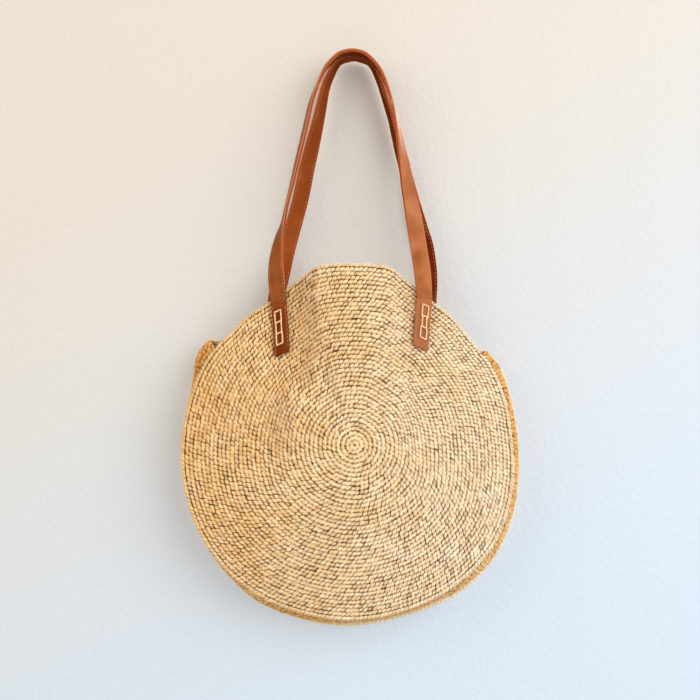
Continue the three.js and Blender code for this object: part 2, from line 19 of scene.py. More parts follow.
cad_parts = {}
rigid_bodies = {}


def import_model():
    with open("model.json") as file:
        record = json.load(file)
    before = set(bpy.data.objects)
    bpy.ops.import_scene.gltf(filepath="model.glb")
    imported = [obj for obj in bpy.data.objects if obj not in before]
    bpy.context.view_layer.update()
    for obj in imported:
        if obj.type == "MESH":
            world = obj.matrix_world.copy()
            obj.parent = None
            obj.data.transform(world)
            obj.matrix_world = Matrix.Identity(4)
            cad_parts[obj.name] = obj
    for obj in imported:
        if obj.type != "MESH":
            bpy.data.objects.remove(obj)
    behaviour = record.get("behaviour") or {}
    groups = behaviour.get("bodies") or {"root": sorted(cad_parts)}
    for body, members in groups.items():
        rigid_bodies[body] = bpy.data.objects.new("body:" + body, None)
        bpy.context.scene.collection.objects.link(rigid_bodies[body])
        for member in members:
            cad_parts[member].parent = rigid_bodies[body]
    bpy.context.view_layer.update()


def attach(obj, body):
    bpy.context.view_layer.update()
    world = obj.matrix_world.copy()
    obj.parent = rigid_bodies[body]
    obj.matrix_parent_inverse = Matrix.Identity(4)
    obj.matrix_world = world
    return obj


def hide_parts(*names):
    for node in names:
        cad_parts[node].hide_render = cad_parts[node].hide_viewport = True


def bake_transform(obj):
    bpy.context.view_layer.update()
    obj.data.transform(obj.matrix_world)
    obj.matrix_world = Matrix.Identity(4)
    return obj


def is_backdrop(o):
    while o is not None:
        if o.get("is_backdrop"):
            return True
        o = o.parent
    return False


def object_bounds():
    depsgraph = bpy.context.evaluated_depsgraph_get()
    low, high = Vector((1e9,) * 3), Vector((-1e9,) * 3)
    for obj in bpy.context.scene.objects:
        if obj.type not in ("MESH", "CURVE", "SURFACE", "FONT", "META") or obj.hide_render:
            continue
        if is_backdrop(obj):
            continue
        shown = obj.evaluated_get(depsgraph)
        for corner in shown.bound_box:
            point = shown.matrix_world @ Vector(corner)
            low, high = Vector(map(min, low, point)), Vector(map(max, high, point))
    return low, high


LOG = logging.getLogger("raffia_bag")
MM = 0.001

Bend = Callable[[np.ndarray], np.ndarray]
Colour = tuple[float, float, float]
Range = tuple[float, float]
Pattern = tuple[float, float]
Socket = bpy.types.NodeSocket
BMesh = bmesh.types.BMesh
Material = bpy.types.Material


class Body(Enum):
    """Bodies of the frame that a piece can ride on."""

    BAG = "bag"
    FRONT_STRAP = "front_strap"
    REAR_STRAP = "rear_strap"


class Slot(Enum):
    """Material slots of the record."""

    RAFFIA = "raffia"
    RAFFIA_GOLD = "raffia_gold"
    LEATHER = "leather"
    LINING = "leather_lining"
    THREAD = "thread"


def linear(colour: Colour) -> tuple[float, float, float, float]:
    """Colour as a node takes it.

    Args:
        colour: Red, green and blue as a screen shows them, from 0 to 255.

    Returns:
        Linear red, green, blue and an alpha of one.
    """
    shares = [value / 255 for value in colour]
    curve = [s / 12.92 if s <= 0.04045 else ((s + 0.055) / 1.055) ** 2.4 for s in shares]
    return (curve[0], curve[1], curve[2], 1.0)


def smooth_step(value: np.ndarray) -> np.ndarray:
    """Share that eases in and out between zero and one."""
    t = np.clip(value, 0, 1)
    return t * t * (3 - 2 * t)


def unit(rows: np.ndarray) -> np.ndarray:
    """Directions brought to length one, one row each."""
    return rows / np.linalg.norm(rows, axis=1)[:, None]


# Part of a cloudy pattern's range over which it shows
CLOUDY: Range = (0.3, 0.7)


class Shading:
    """Node tree of one material."""

    # Places of the share, both colours and the result on a mix node
    MIX_INPUTS = (0, 6, 7)
    MIX_RESULT = 2

    def __init__(self, name: str) -> None:
        """Starts a material with a principled surface.

        Args:
            name: Name of the material.
        """
        self.material = bpy.data.materials.new(name)
        self.material.use_nodes = True
        self.tree = self.material.node_tree
        self.surface = self.tree.nodes["Principled BSDF"]

    def fill(self, node: bpy.types.Node, inputs: dict) -> None:
        """Gives sockets of a node their values.

        Args:
            node: Node that takes them.
            inputs: Values by the sockets' names or places: sockets to join, numbers, vectors, or
                colours as a screen shows them.
        """
        for key, value in inputs.items():
            target = node.inputs[key]
            if isinstance(value, bpy.types.NodeSocket):
                self.tree.links.new(value, target)
            else:
                target.default_value = linear(value) if target.type == "RGBA" else value

    def node(self, kind: str, inputs: dict | None = None, **settings: object) -> bpy.types.Node:
        """Adds a node.

        Args:
            kind: Blender's name of the node type.
            inputs: Values of its sockets, as fill takes them.
            settings: Values of the node's own properties.

        Returns:
            The new node.
        """
        node = self.tree.nodes.new(kind)
        for key, value in settings.items():
            setattr(node, key, value)
        self.fill(node, inputs or {})
        return node

    def attribute(self, name: str) -> Socket:
        """Value of a mesh attribute."""
        return self.node("ShaderNodeAttribute", attribute_name=name).outputs["Fac"]

    def coordinates(self) -> tuple[Socket, Socket, Socket]:
        """Place on the object.

        Returns:
            Sockets with the whole place, its part to the right and its part up.
        """
        place = self.node("ShaderNodeTexCoord").outputs["Object"]
        axes = self.node("ShaderNodeSeparateXYZ", {0: place}).outputs
        return place, axes[0], axes[2]

    def math(self, operation: str, first: object, second: object) -> Socket:
        """Result of an operation on two sockets or numbers."""
        return self.node("ShaderNodeMath", {0: first, 1: second}, operation=operation).outputs[0]

    def ramp(self, value: Socket, span: Range, result: Range = (0, 1)) -> Socket:
        """Value that goes smoothly from the first to the last result over a span of another."""
        inputs = dict(zip(("Value", "From Min", "From Max", "To Min", "To Max"), (value, *span, *result)))
        return self.node("ShaderNodeMapRange", inputs, interpolation_type="SMOOTHSTEP").outputs["Result"]

    def blend(self, share: Socket, first: object, second: object) -> Socket:
        """Colour between two sockets or colours, by the share of the second one."""
        inputs = dict(zip(self.MIX_INPUTS, (share, first, second)))
        return self.node("ShaderNodeMix", inputs, data_type="RGBA").outputs[self.MIX_RESULT]

    def noise(self, vector: Socket, pattern: Pattern) -> Socket:
        """Cloudy pattern between zero and one, by its fineness and its octaves of finer pattern."""
        inputs = {"Vector": vector, "Scale": pattern[0], "Detail": pattern[1]}
        return self.node("ShaderNodeTexNoise", inputs).outputs[0]

    def dress(self, **values: object) -> None:
        """Fills the surface's own sockets, by name with underscores for spaces."""
        self.fill(self.surface, {key.replace("_", " "): value for key, value in values.items()})

    def bump(self, height: Socket, distance: float, strength: float) -> None:
        """Gives the surface a relief by its depth in metres and the share of it that shows."""
        inputs = {"Height": height, "Distance": distance, "Strength": strength}
        self.dress(Normal=self.node("ShaderNodeBump", inputs).outputs[0])


@dataclass(frozen=True)
class RaffiaFinish:
    """Dry raffia straw: streaked fibres, with painted shade that makes it brown down between the stitches.

    The paleness ranges are of the number that makes a straw paler: a sum of its own tint, its cloudy
    tone, its streaks, and a painted light that makes it paler to the right and near the bottom. The
    ranges of depth run from the pits to the ridges.
    """

    name: str
    deep: Colour = (240, 197, 134)
    mid: Colour = (249, 226, 188)
    pale: Colour = (255, 244, 225)
    # pit, hollow and hole are painted shade: in the pits between the stitches, in the gaps and in the open
    # holes; pit also colours the random dark spots.
    pit: Colour = (126, 74, 14)
    hollow: Colour = (98, 54, 6)
    hole: Colour = (34, 14, 0)
    # This range and the next make the straw paler to the right, a painted light.
    reach: Range = (-0.2, 0.17)
    painted_side_light: Range = (-0.3, 0.42)
    # These two make the straw paler near the bottom, a painted light.
    painted_low_light: Range = (-0.6, -0.36)
    low_light_paleness: float = 0.15
    clouded: Range = (-0.1, 0.1)
    streaked: Range = (-0.34, 0.34)
    paleness_to_mid: Range = (-0.5, 0.5)
    paleness_to_pale: Range = (0.35, 1.15)
    # The next three ranges place the painted shade of the pits, the gaps and the holes.
    pit_depth: Range = (-0.5, 0)
    ridge_depth: Range = (-0.15, 0.75)
    open_share: Range = (0.54, 0.6)
    spot_share: Range = (0.5, 0.66)
    mottle: float = 0.2
    streaks: Pattern = (2.2, 3)
    clouds: Pattern = (22.0, 2)
    holes: Pattern = (170.0, 1)
    spots: Pattern = (280.0, 1)
    stretch: tuple[float, float, float] = (11.0, 0.8, 1.0)
    jump: Range = (41.0, 17.0)

    def fibre(self, shade: Shading, tint: Socket) -> Socket:
        """Coordinates stretched along each straw and moved from stitch to stitch.

        Args:
            shade: Node tree that takes the nodes.
            tint: Socket with the stitch's own number.

        Returns:
            The socket with the coordinates.
        """
        ways = {place: shade.math("MULTIPLY", tint, factor) for place, factor in enumerate(self.jump)}
        shift = shade.node("ShaderNodeCombineXYZ", ways).outputs[0]
        along = shade.node("ShaderNodeUVMap", uv_map="UVMap").outputs[0]
        drawn = shade.node("ShaderNodeMapping", {"Vector": along, "Scale": self.stretch}).outputs[0]
        return shade.node("ShaderNodeVectorMath", {0: drawn, 1: shift}, operation="ADD").outputs[0]

    def material(self) -> Material:
        """Builds the straw's nodes.

        Returns:
            The finished material.
        """
        shade = Shading(self.name)
        place, right, up = shade.coordinates()
        tint, depth = shade.attribute("tint"), shade.attribute("depth")
        streak = shade.noise(self.fibre(shade, tint), self.streaks)
        # Painted light: paler to the right and near the bottom, summed with the random cloudy tone.
        side_light = shade.ramp(right, self.reach, self.painted_side_light)
        painted_low_light = shade.ramp(up, self.painted_low_light, (self.low_light_paleness, 0))
        cloud = shade.ramp(shade.noise(place, self.clouds), CLOUDY, self.clouded)
        mottle_and_painted_light = shade.math("ADD", painted_low_light, cloud)
        warmth = shade.math("ADD", tint, shade.math("ADD", side_light, mottle_and_painted_light))
        tone_and_painted_light = shade.math("ADD", warmth, shade.ramp(streak, CLOUDY, self.streaked))
        low = shade.blend(shade.ramp(tone_and_painted_light, self.paleness_to_mid), self.deep, self.mid)
        straw = shade.blend(shade.ramp(tone_and_painted_light, self.paleness_to_pale), low, self.pale)
        # Painted shade: darker towards the pits, and dark in the gaps and the holes.
        ridge = shade.blend(shade.ramp(depth, self.ridge_depth), self.pit, straw)
        holes = shade.ramp(shade.noise(place, self.holes), self.open_share)
        below = shade.blend(holes, self.hollow, self.hole)
        spots = shade.ramp(shade.noise(place, self.spots), self.spot_share, (0, self.mottle))
        spotted = shade.blend(spots, ridge, self.pit)
        colour = shade.blend(shade.ramp(depth, self.pit_depth), below, spotted)
        shade.dress(Base_Color=colour, Roughness=0.7, Specular_IOR_Level=0.1)
        shade.bump(streak, distance=0.0006, strength=0.7)
        return shade.material


@dataclass(frozen=True)
class LeatherFinish:
    """Smooth vegetable-tanned leather: fine grain, faint mottling, and lighter edges that are partly their
    own finish and partly a painted highlight.

    Its colour turns from the left colours to the right ones, as far as sides says, which is painted light
    and shade, and below the folds it turns to darker end colours, which are painted shade.
    """

    name: str
    # The first three colours are painted light and shade: face on the right, the next two towards the left.
    face: Colour = (178, 108, 67)
    dark: Colour = (140, 73, 22)
    left_deep: Colour = (96, 46, 4)
    edge: Colour = (188, 104, 62)
    # Painted shade of the ends below the folds, on the left and on the right.
    end_shade_left: Colour = (96, 36, 0)
    end_shade_right: Colour = (158, 102, 72)
    roughness: float = 0.42
    sheen: float = 0.14
    grain: float = 0.00012
    # The span across which the painted light turns from left to right; the heights of the folds and the
    # share of the painted shade of the ends below them.
    sides: Range = (-0.1, 0.06)
    folds: Range = (-0.3, -0.26)
    end_shade_share: float = 0.8
    mottle_share: Range = (0.25, 0.6)
    speck_share: Range = (0.55, 0.85)
    speckled: float = 0.25
    fine_relief: float = 0.5
    roughness_change: Range = (-0.06, 0.08)
    clouds: Pattern = (34.0, 4)
    specks: Pattern = (900.0, 2)
    pores: float = 1100.0

    def material(self) -> Material:
        """Builds the leather's nodes.

        Returns:
            The finished material.
        """
        shade = Shading(self.name)
        place, sideways, up = shade.coordinates()
        cloud = shade.noise(place, self.clouds)
        fine = shade.noise(place, self.specks)
        cells = {"Vector": place, "Scale": self.pores}
        pores = shade.node("ShaderNodeTexVoronoi", cells, feature="SMOOTH_F1").outputs[0]
        # Painted light and shade: the colour turns from the left colours to the right ones.
        right = shade.ramp(sideways, self.sides)
        warm = shade.blend(right, self.dark, self.face)
        deep = shade.blend(right, self.left_deep, self.dark)
        face = shade.blend(shade.ramp(cloud, self.mottle_share), deep, warm)
        specks = shade.ramp(fine, self.speck_share, (0, self.speckled))
        speckled = shade.blend(specks, face, self.dark)
        # Painted shade: darker end colours below the folds.
        end = shade.blend(right, self.end_shade_left, self.end_shade_right)
        sewn = shade.ramp(up, self.folds, (self.end_shade_share, 0))
        mottle_and_painted_light = shade.blend(sewn, speckled, end)
        # The lighter edge colour, partly the edge's own finish and partly a painted highlight.
        rim = shade.blend(sewn, self.edge, end)
        colour = shade.blend(shade.attribute("edge"), mottle_and_painted_light, rim)
        relief = shade.math("ADD", pores, shade.math("MULTIPLY", fine, self.fine_relief))
        shade.bump(relief, distance=self.grain, strength=0.5)
        low, high = self.roughness_change
        rough = shade.ramp(cloud, CLOUDY, (self.roughness + low, self.roughness + high))
        shade.dress(Base_Color=colour, Roughness=rough, Specular_IOR_Level=self.sheen)
        return shade.material


@dataclass(frozen=True)
class ThreadFinish:
    """Waxed thread with soft streaks along its strands."""

    name: str
    light: Colour = (252, 222, 178)
    dark: Colour = (214, 158, 100)
    fuzz: Pattern = (700.0, 3)
    light_share: Range = (0.3, 0.62)

    def material(self) -> Material:
        """Builds the thread's nodes.

        Returns:
            The finished material.
        """
        shade = Shading(self.name)
        place, _, _ = shade.coordinates()
        fuzz = shade.noise(place, self.fuzz)
        colour = shade.blend(shade.ramp(fuzz, self.light_share), self.dark, self.light)
        shade.dress(Base_Color=colour, Roughness=0.55, Specular_IOR_Level=0.3)
        shade.bump(fuzz, distance=0.0001, strength=0.5)
        return shade.material


def new_work() -> BMesh:
    """Starts a shape with the map that the fibres' streaks follow.

    Returns:
        The empty shape.
    """
    bm = bmesh.new()
    bm.loops.layers.uv.new("UVMap")
    return bm


def new_mesh(name: str, bm: BMesh) -> bpy.types.Mesh:
    """Turns a worked shape into a mesh, and frees it.

    Args:
        name: Name of the mesh.
        bm: The shape.

    Returns:
        The new mesh.
    """
    mesh = bpy.data.meshes.new(name)
    bm.to_mesh(mesh)
    bm.free()
    return mesh


def vertex_places(mesh: bpy.types.Mesh) -> np.ndarray:
    """Reads the places of a mesh's vertices.

    Args:
        mesh: Mesh to read.

    Returns:
        The places, one row each.
    """
    places = np.empty(len(mesh.vertices) * 3, dtype=np.float32)
    mesh.vertices.foreach_get("co", places)
    return places.reshape(-1, 3)


def place_mesh(mesh: bpy.types.Mesh, bend: Bend) -> np.ndarray:
    """Moves a mesh from its flat working shape to its place, in metres, with its faces outwards.

    Args:
        mesh: Mesh whose vertices are in millimetres of the working shape.
        bend: Rule that takes working places to places on the object, both in millimetres.

    Returns:
        The working places, one row a vertex.
    """
    working = vertex_places(mesh).astype(float)
    bent = bend(working)
    mesh.vertices.foreach_set("co", (bent * MM).astype(np.float32).ravel())
    mesh.update()
    mesh.calc_loop_triangles()
    corners = np.empty(len(mesh.loop_triangles) * 3, dtype=np.int32)
    mesh.loop_triangles.foreach_get("vertices", corners)
    a, b, c = (bent[corners.reshape(-1, 3)[:, k]] for k in range(3))
    if np.einsum("ij,ij->i", a, np.cross(b, c)).sum() < 0:
        mesh.flip_normals()
    mesh.shade_smooth()
    return working


def add_attribute(mesh: bpy.types.Mesh, name: str, values: np.ndarray) -> None:
    """Stores one number a vertex, which the materials read by its name."""
    layer = mesh.attributes.new(name, "FLOAT", "POINT")
    layer.data.foreach_set("value", values.astype(np.float32))


def add_object(name: str, data: bpy.types.ID) -> bpy.types.Object:
    """Puts a mesh, curve, lamp or camera in the scene.

    Args:
        name: Name of the object.
        data: What it shows.

    Returns:
        The new object.
    """
    thing = bpy.data.objects.new(name, data)
    bpy.context.scene.collection.objects.link(thing)
    return thing


@dataclass(frozen=True)
class Look:
    """Material of a piece, with the material slot of the record that it shows."""

    material: Material
    slot: Slot


def make_piece(name: str, mesh: bpy.types.Mesh, look: Look) -> bpy.types.Object:
    """Puts a finished mesh in the scene as a piece of the bag.

    Args:
        name: Name of the piece.
        mesh: Its mesh, in place.
        look: Its look.

    Returns:
        The new object.
    """
    mesh.name = name
    mesh.materials.clear()
    mesh.materials.append(look.material)
    piece = add_object(name, mesh)
    LOG.info("%s: %d faces", name, len(mesh.polygons))
    return piece


def make_web(name: str, bm: BMesh, bend: Bend, look: Look) -> bpy.types.Object:
    """Makes the thin web, coloured as painted shade, that closes the gaps down between the stitches.

    Args:
        name: Name of the piece.
        bm: The web in its working shape.
        bend: Rule from the working shape to the object.
        look: Look of the straw.

    Returns:
        The new piece.
    """
    mesh = new_mesh(name, bm)
    count = len(place_mesh(mesh, bend))
    add_attribute(mesh, "tint", np.zeros(count))
    # Depth minus one colours the web with the painted shade of the gaps.
    add_attribute(mesh, "depth", -np.ones(count))
    return make_piece(name, mesh, look)


@dataclass(frozen=True)
class Seat:
    """Place on a panel where a strap's end is sewn flat."""

    x: float
    y: float
    z: float
    lean: float
    slant: float
    outward: int
    outer_side: int

    def matrix(self) -> np.ndarray:
        """Frame of the seat, turned by the strap's slant.

        Returns:
            The directions across, up and out, one column each.
        """
        lean = math.radians(self.lean)
        up = np.array([0, -self.outward * math.sin(lean), math.cos(lean)])
        out = np.array([0, self.outward * math.cos(lean), math.sin(lean)])
        across = np.cross(up, out)
        turn = math.radians(self.slant)
        return np.column_stack([
            across * math.cos(turn) + up * math.sin(turn),
            up * math.cos(turn) - across * math.sin(turn),
            out,
        ])

    def place(self, local: np.ndarray) -> np.ndarray:
        """Places in millimetres of points given across, up and out from the fold line, one a row."""
        return np.array([self.x, self.y, self.z]) + local @ self.matrix().T


PANEL_RADIUS = 195.0
PANEL_THICKNESS = 4.0
CORNER_ANGLE = 57.6
TAB_WIDTH = 17.0
TAB_LENGTH = 56.0
STRAP_WIDTH = 18.4
OUTER_PLY = 1.8
LINING_PLY = 1.5
PATCH_THICKNESS = 1.6
GAP = 0.3
RIM_GAP = 0.6
SEAM_RADIUS = 2.6
EDGING_RADIUS = 2.0
STRAP_THICKNESS = OUTER_PLY + GAP + LINING_PLY

# Heights above a panel's middle
TAB_BOTTOM = PANEL_THICKNESS / 2 + GAP
TAB_MIDDLE = TAB_BOTTOM + STRAP_THICKNESS / 2
TAB_FACE = TAB_BOTTOM + STRAP_THICKNESS

# Hang of the panels: powers and shares of the radius, and how far round a seat its plane reaches
DRAW_POWER = 1.5
FOLD_ONSET = 1.5
FOLD_WIDTH = 0.24
LEAST_SIDEWAYS = 1e-3
SEAT_MARGIN = 13
SEAT_BELOW = 18
SEAT_ABOVE = 34
SEAT_FADE = 24

SEATS = {
    "front_left": Seat(-80.4, -22, -282, 12, 4.6, -1, -1),
    "front_right": Seat(79.7, -22, -275.8, 12, -5.5, -1, 1),
    "rear_left": Seat(-88, 13, -284, 0, -2, 1, 1),
    "rear_right": Seat(88.4, 13, -284, 0, 2, 1, -1),
}

Rows = tuple[tuple[float, ...], ...]

FRONT_RIM: Rows = (
    (0, 7, -60), (13, 6.8, -53), (17, 11.5, -42), (20, 14.8, -32), (23, 17.8, -25), (27, 21.5, -21),
    (32, 24, -20), (40, 25.4, -19), (46, 27.6, -18), (54, 28, -17), (60, 26.6, -17),
    (68, 25.7, -17), (76, 25.5, -18), (88, 24.7, -19.5), (96, 22, -21), (104, 18, -22.5),
    (112, 14, -24), (121, 9.8, -26), (130, 7.3, -28), (148, 6.5, -32), (162, 6.3, -33),
    (180, 4.5, -34), (195, 3.6, -35), (210, 1.6, -35), (225, 1.2, -34), (240, 3, -33),
    (255, 6.4, -31), (263, 8.4, -30.5), (271, 10.6, -30), (280, 12.2, -29), (290, 13, -28),
    (299, 13.8, -26), (306, 16, -24.5), (311, 18, -22), (317, 17.8, -21), (323, 19, -20.5),
    (328, 19.6, -21), (333, 17.8, -22), (337, 14.4, -25), (341.5, 10.2, -36), (346, 6, -49),
    (354, 6.2, -59),
)

BACK_RIM: Rows = (
    (0, 4.5, 12), (15, 7, 12), (29, 15.5, 13), (43, 22, 12), (50, 21, 10), (55, 15.5, 9),
    (60, 13, 9), (66, 13.4, 9), (74, 15.7, 9), (84, 15.8, 9), (93, 14.6, 9), (100, 12.2, 9.5),
    (108, 8, 10), (116, 3.4, 10), (123, 0.4, 10.5), (131, -2.6, 11), (146, -3, 12), (156, 0, 12),
    (168, 0.3, 12), (180, -2, 12), (195, -3.5, 12), (210, -4, 12), (222, -1.8, 12), (234, 1.6, 12),
    (255, 6.5, 11), (270, 9, 10), (285, 6.5, 9), (295, 2, 8), (305, -4.5, 8), (309, 8, 9),
    (313, 15, 10), (321, 18, 12), (331, 15.5, 13), (345, 7, 12),
)

GUSSET_BULGE: Rows = (
    (0, 6), (57, 4), (75, 3.5), (100, 3.5), (130, 3), (155, 1), (180, 1), (200, 4), (212, 5.5),
    (225, 4), (240, 2.5), (260, 1), (284, 0), (289, 2), (293, 5), (297, 8), (300, 8), (303, 6),
)


def station_value(rows: Rows, column: int, angle: np.ndarray) -> np.ndarray:
    """Smooth value between stations that repeat every turn.

    Args:
        rows: Stations, each with its angle in degrees first.
        column: Column of the value.
        angle: Angles to read, in degrees.

    Returns:
        One value an angle.
    """
    table = np.array(rows)
    stops = np.concatenate([table[-2:, 0] - 360, table[:, 0], table[:3, 0] + 360])
    values = np.concatenate([table[-2:, column], table[:, column], table[:3, column]])
    slopes = np.zeros_like(values)
    slopes[1:-1] = (values[2:] - values[:-2]) / (stops[2:] - stops[:-2])
    turn = np.mod(angle, 360)
    index = np.searchsorted(stops, turn, side="right") - 1
    span = stops[index + 1] - stops[index]
    t = (turn - stops[index]) / span
    keep = 1 + t * t * (2 * t - 3)
    rise = t * (1 + t * (t - 2)) * span * slopes[index]
    fall = t * t * (t - 1) * span * slopes[index + 1]
    return keep * values[index] + (1 - keep) * values[index + 1] + rise + fall


@dataclass(frozen=True)
class Fold:
    """Soft fold of the front panel below a strap's end."""

    start: float
    end: float
    share: float
    offset: float


@dataclass(frozen=True)
class HungPanel:
    """Flat crocheted disc and the shape to which it is bent where the bag hangs."""

    centre: tuple[float, float, float]
    rim: Rows
    corner: float
    outward: int
    depth_power: float
    folds: tuple[Fold, ...]
    seats: tuple[Seat, ...]

    def own_angle(self, sector: np.ndarray) -> np.ndarray:
        """Angle on this panel that belongs to a sector, so that the mouth's corners meet.

        Args:
            sector: Angles from the top, in degrees.

        Returns:
            The panel's own angles, in degrees.
        """
        turn = np.mod(sector + 540, 360) - 180
        size = np.abs(turn)
        upper = size * self.corner / CORNER_ANGLE
        lower = 180 - (180 - size) * (180 - self.corner) / (180 - CORNER_ANGLE)
        return np.sign(turn) * np.where(size < CORNER_ANGLE, upper, lower)

    def reach(self, share: np.ndarray, angle: np.ndarray, power: float) -> np.ndarray:
        """Share of the rim's draw-in or depth that the panel has reached on the way to the rim.

        Args:
            share: Shares of the radius.
            angle: The panel's own angles, in degrees.
            power: How late it is reached where no fold is.

        Returns:
            One share a place.
        """
        straight = np.ones_like(share)
        folded = np.zeros_like(share)
        for fold in self.folds:
            inside = (angle > fold.start) & (angle < fold.end)
            window = np.sin(np.pi * (angle - fold.start) / (fold.end - fold.start))
            weight = np.where(inside, fold.share * smooth_step(window * FOLD_ONSET), 0)
            sideways = np.maximum(np.abs(np.sin(np.radians(angle))), LEAST_SIDEWAYS)
            centre = np.minimum(fold.offset / (PANEL_RADIUS * sideways), 1 - FOLD_WIDTH / 2)
            straight = straight - weight
            folded = folded + weight * smooth_step((share - centre) / FOLD_WIDTH + 0.5)
        return straight * share**power + folded

    def seat_weight(self, seat: Seat, x: np.ndarray, z: np.ndarray) -> np.ndarray:
        """How strongly the panel follows a seat's plane.

        Args:
            seat: The seat.
            x: Places to the right.
            z: Places up.

        Returns:
            One weight a place.
        """
        side = np.maximum(np.abs(x - seat.x) - TAB_WIDTH / 2 - SEAT_MARGIN, 0)
        rise = np.maximum(np.maximum(seat.z - TAB_LENGTH - SEAT_BELOW - z, z - seat.z - SEAT_ABOVE), 0)
        return 1 - smooth_step(np.hypot(side, rise) / SEAT_FADE)

    def middle(self, right: np.ndarray, up: np.ndarray) -> np.ndarray:
        """Middle surface over the flat disc's own coordinates.

        Args:
            right: Places to the right of the disc's centre.
            up: Places above it.

        Returns:
            Places on the object, one row each.
        """
        radius = np.hypot(right, up)
        angle = np.mod(np.degrees(np.arctan2(right, up)) + 360, 360)
        share = radius / PANEL_RADIUS
        hung = radius - station_value(self.rim, 1, angle) * self.reach(share, angle, DRAW_POWER)
        x = self.centre[0] + hung * np.sin(np.radians(angle))
        z = self.centre[2] + hung * np.cos(np.radians(angle))
        depth = station_value(self.rim, 2, angle) - self.centre[1]
        y = self.centre[1] + depth * self.reach(share, angle, self.depth_power)
        for seat in self.seats:
            plane = seat.y - seat.outward * math.tan(math.radians(seat.lean)) * (z - seat.z)
            y = y + (plane - y) * self.seat_weight(seat, x, z)
        return np.column_stack([x, y, z])

    def point(self, radius: np.ndarray, sector: np.ndarray, lift: np.ndarray) -> np.ndarray:
        """Place at a radius and sector of the flat disc, lifted off the middle surface.

        Args:
            radius: Distances from the disc's centre.
            sector: Angles from the top, in degrees.
            lift: Heights above the middle surface, outwards.

        Returns:
            Places on the object, one row each.
        """
        angle = np.radians(self.own_angle(sector))
        right, up = radius * np.sin(angle), radius * np.cos(angle)
        across = self.middle(right + 1, up) - self.middle(right - 1, up)
        along = self.middle(right, up + 1) - self.middle(right, up - 1)
        normal = unit(np.cross(across, along) * -self.outward)
        return self.middle(right, up) + normal * lift[:, None]

    def bend(self, flat: np.ndarray) -> np.ndarray:
        """Takes the flat disc, upright with its outer face along outward Y, to its hanging shape.

        Args:
            flat: Places on the flat disc, one row each.

        Returns:
            Places on the object, one row each.
        """
        radius = np.hypot(flat[:, 0], flat[:, 2])
        sector = np.degrees(np.arctan2(flat[:, 0], flat[:, 2]))
        return self.point(radius, sector, self.outward * flat[:, 1])

    def rim_frame(self, angle: np.ndarray) -> tuple[np.ndarray, np.ndarray, np.ndarray]:
        """Frame that a cord along the rim follows.

        Args:
            angle: Angles from the top, in degrees.

        Returns:
            Places on the rim, directions away from the panel and directions through it.
        """
        rim = np.full_like(angle, PANEL_RADIUS)
        none = np.zeros_like(angle)
        origin = self.point(rim, angle, none)
        along = self.point(rim, angle + 1, none) - self.point(rim, angle - 1, none)
        through = self.point(rim, angle, none + self.outward) - origin
        return origin, unit(np.cross(along, through)), unit(through)

    def cord_middle(self, angle: np.ndarray, radius: float) -> np.ndarray:
        """Middle of a cord along the rim, just off the panel's edge."""
        origin, away, _ = self.rim_frame(angle)
        return origin + away * (RIM_GAP + radius)


FRONT = HungPanel(
    (2.4, -72, -431.3), FRONT_RIM, CORNER_ANGLE, -1, 1.9,
    (Fold(32, 122, 0.25, 63), Fold(238, 324, 0.3, 82)),
    (SEATS["front_left"], SEATS["front_right"]),
)
BACK = HungPanel(
    (3, 15, -442), BACK_RIM, 55, 1, 3, (), (SEATS["rear_left"], SEATS["rear_right"])
)


def copied(bm: BMesh, verts: list, turn: float, shift: tuple, copies: int) -> None:
    """Repeats a shape round the Y axis or along a line.

    Args:
        bm: Mesh that holds the shape.
        verts: The shape's vertices.
        turn: Angle over all the copies, in radians.
        shift: Step of each copy.
        copies: Number of copies made.
    """
    if copies < 1:
        return
    edges = list(dict.fromkeys(edge for vert in verts for edge in vert.link_edges))
    faces = list(dict.fromkeys(face for vert in verts for face in vert.link_faces))
    bmesh.ops.spin(
        bm, geom=verts + edges + faces, cent=(0, 0, 0), axis=(0, 1, 0), dvec=shift,
        angle=turn, steps=copies, use_duplicate=True,
    )


@dataclass(frozen=True)
class Stitch:
    """One tight stitch: two plump strands that lie side by side and lean along their round."""

    pitch: float = 5.0
    length: float = 6.6
    width: float = 2.95
    height: float = 3.6
    spread: float = 0.98
    lean: float = 36.0
    splay: float = -3.0
    tip: float = 9.0
    sides: int = 6
    rings: int = 4

    @property
    def vertices(self) -> int:
        """Number of vertices of the two strands."""
        return 2 * (self.sides * (self.rings - 1) + 2)

    def add(self, bm: BMesh, at: Matrix, outward: int) -> list:
        """Adds the stitch, with X along its round and Z towards the next one.

        Args:
            bm: Mesh that takes it.
            at: Place of its middle.
            outward: Sign of Y on the outer face.

        Returns:
            The stitch's vertices.
        """
        verts: list = []
        for side in (-1, 1):
            leg = (
                Matrix.Translation((side * self.spread, 0, 0))
                @ Matrix.Rotation(math.radians(self.lean + side * self.splay), 4, "Y")
                @ Matrix.Rotation(math.radians(-outward * self.tip), 4, "X")
                @ Matrix.Diagonal((self.width, self.height, self.length, 1))
            )
            made = bmesh.ops.create_uvsphere(
                bm, u_segments=self.sides, v_segments=self.rings, radius=0.5,
                matrix=at @ leg, calc_uvs=True,
            )
            verts += made["verts"]
        return verts


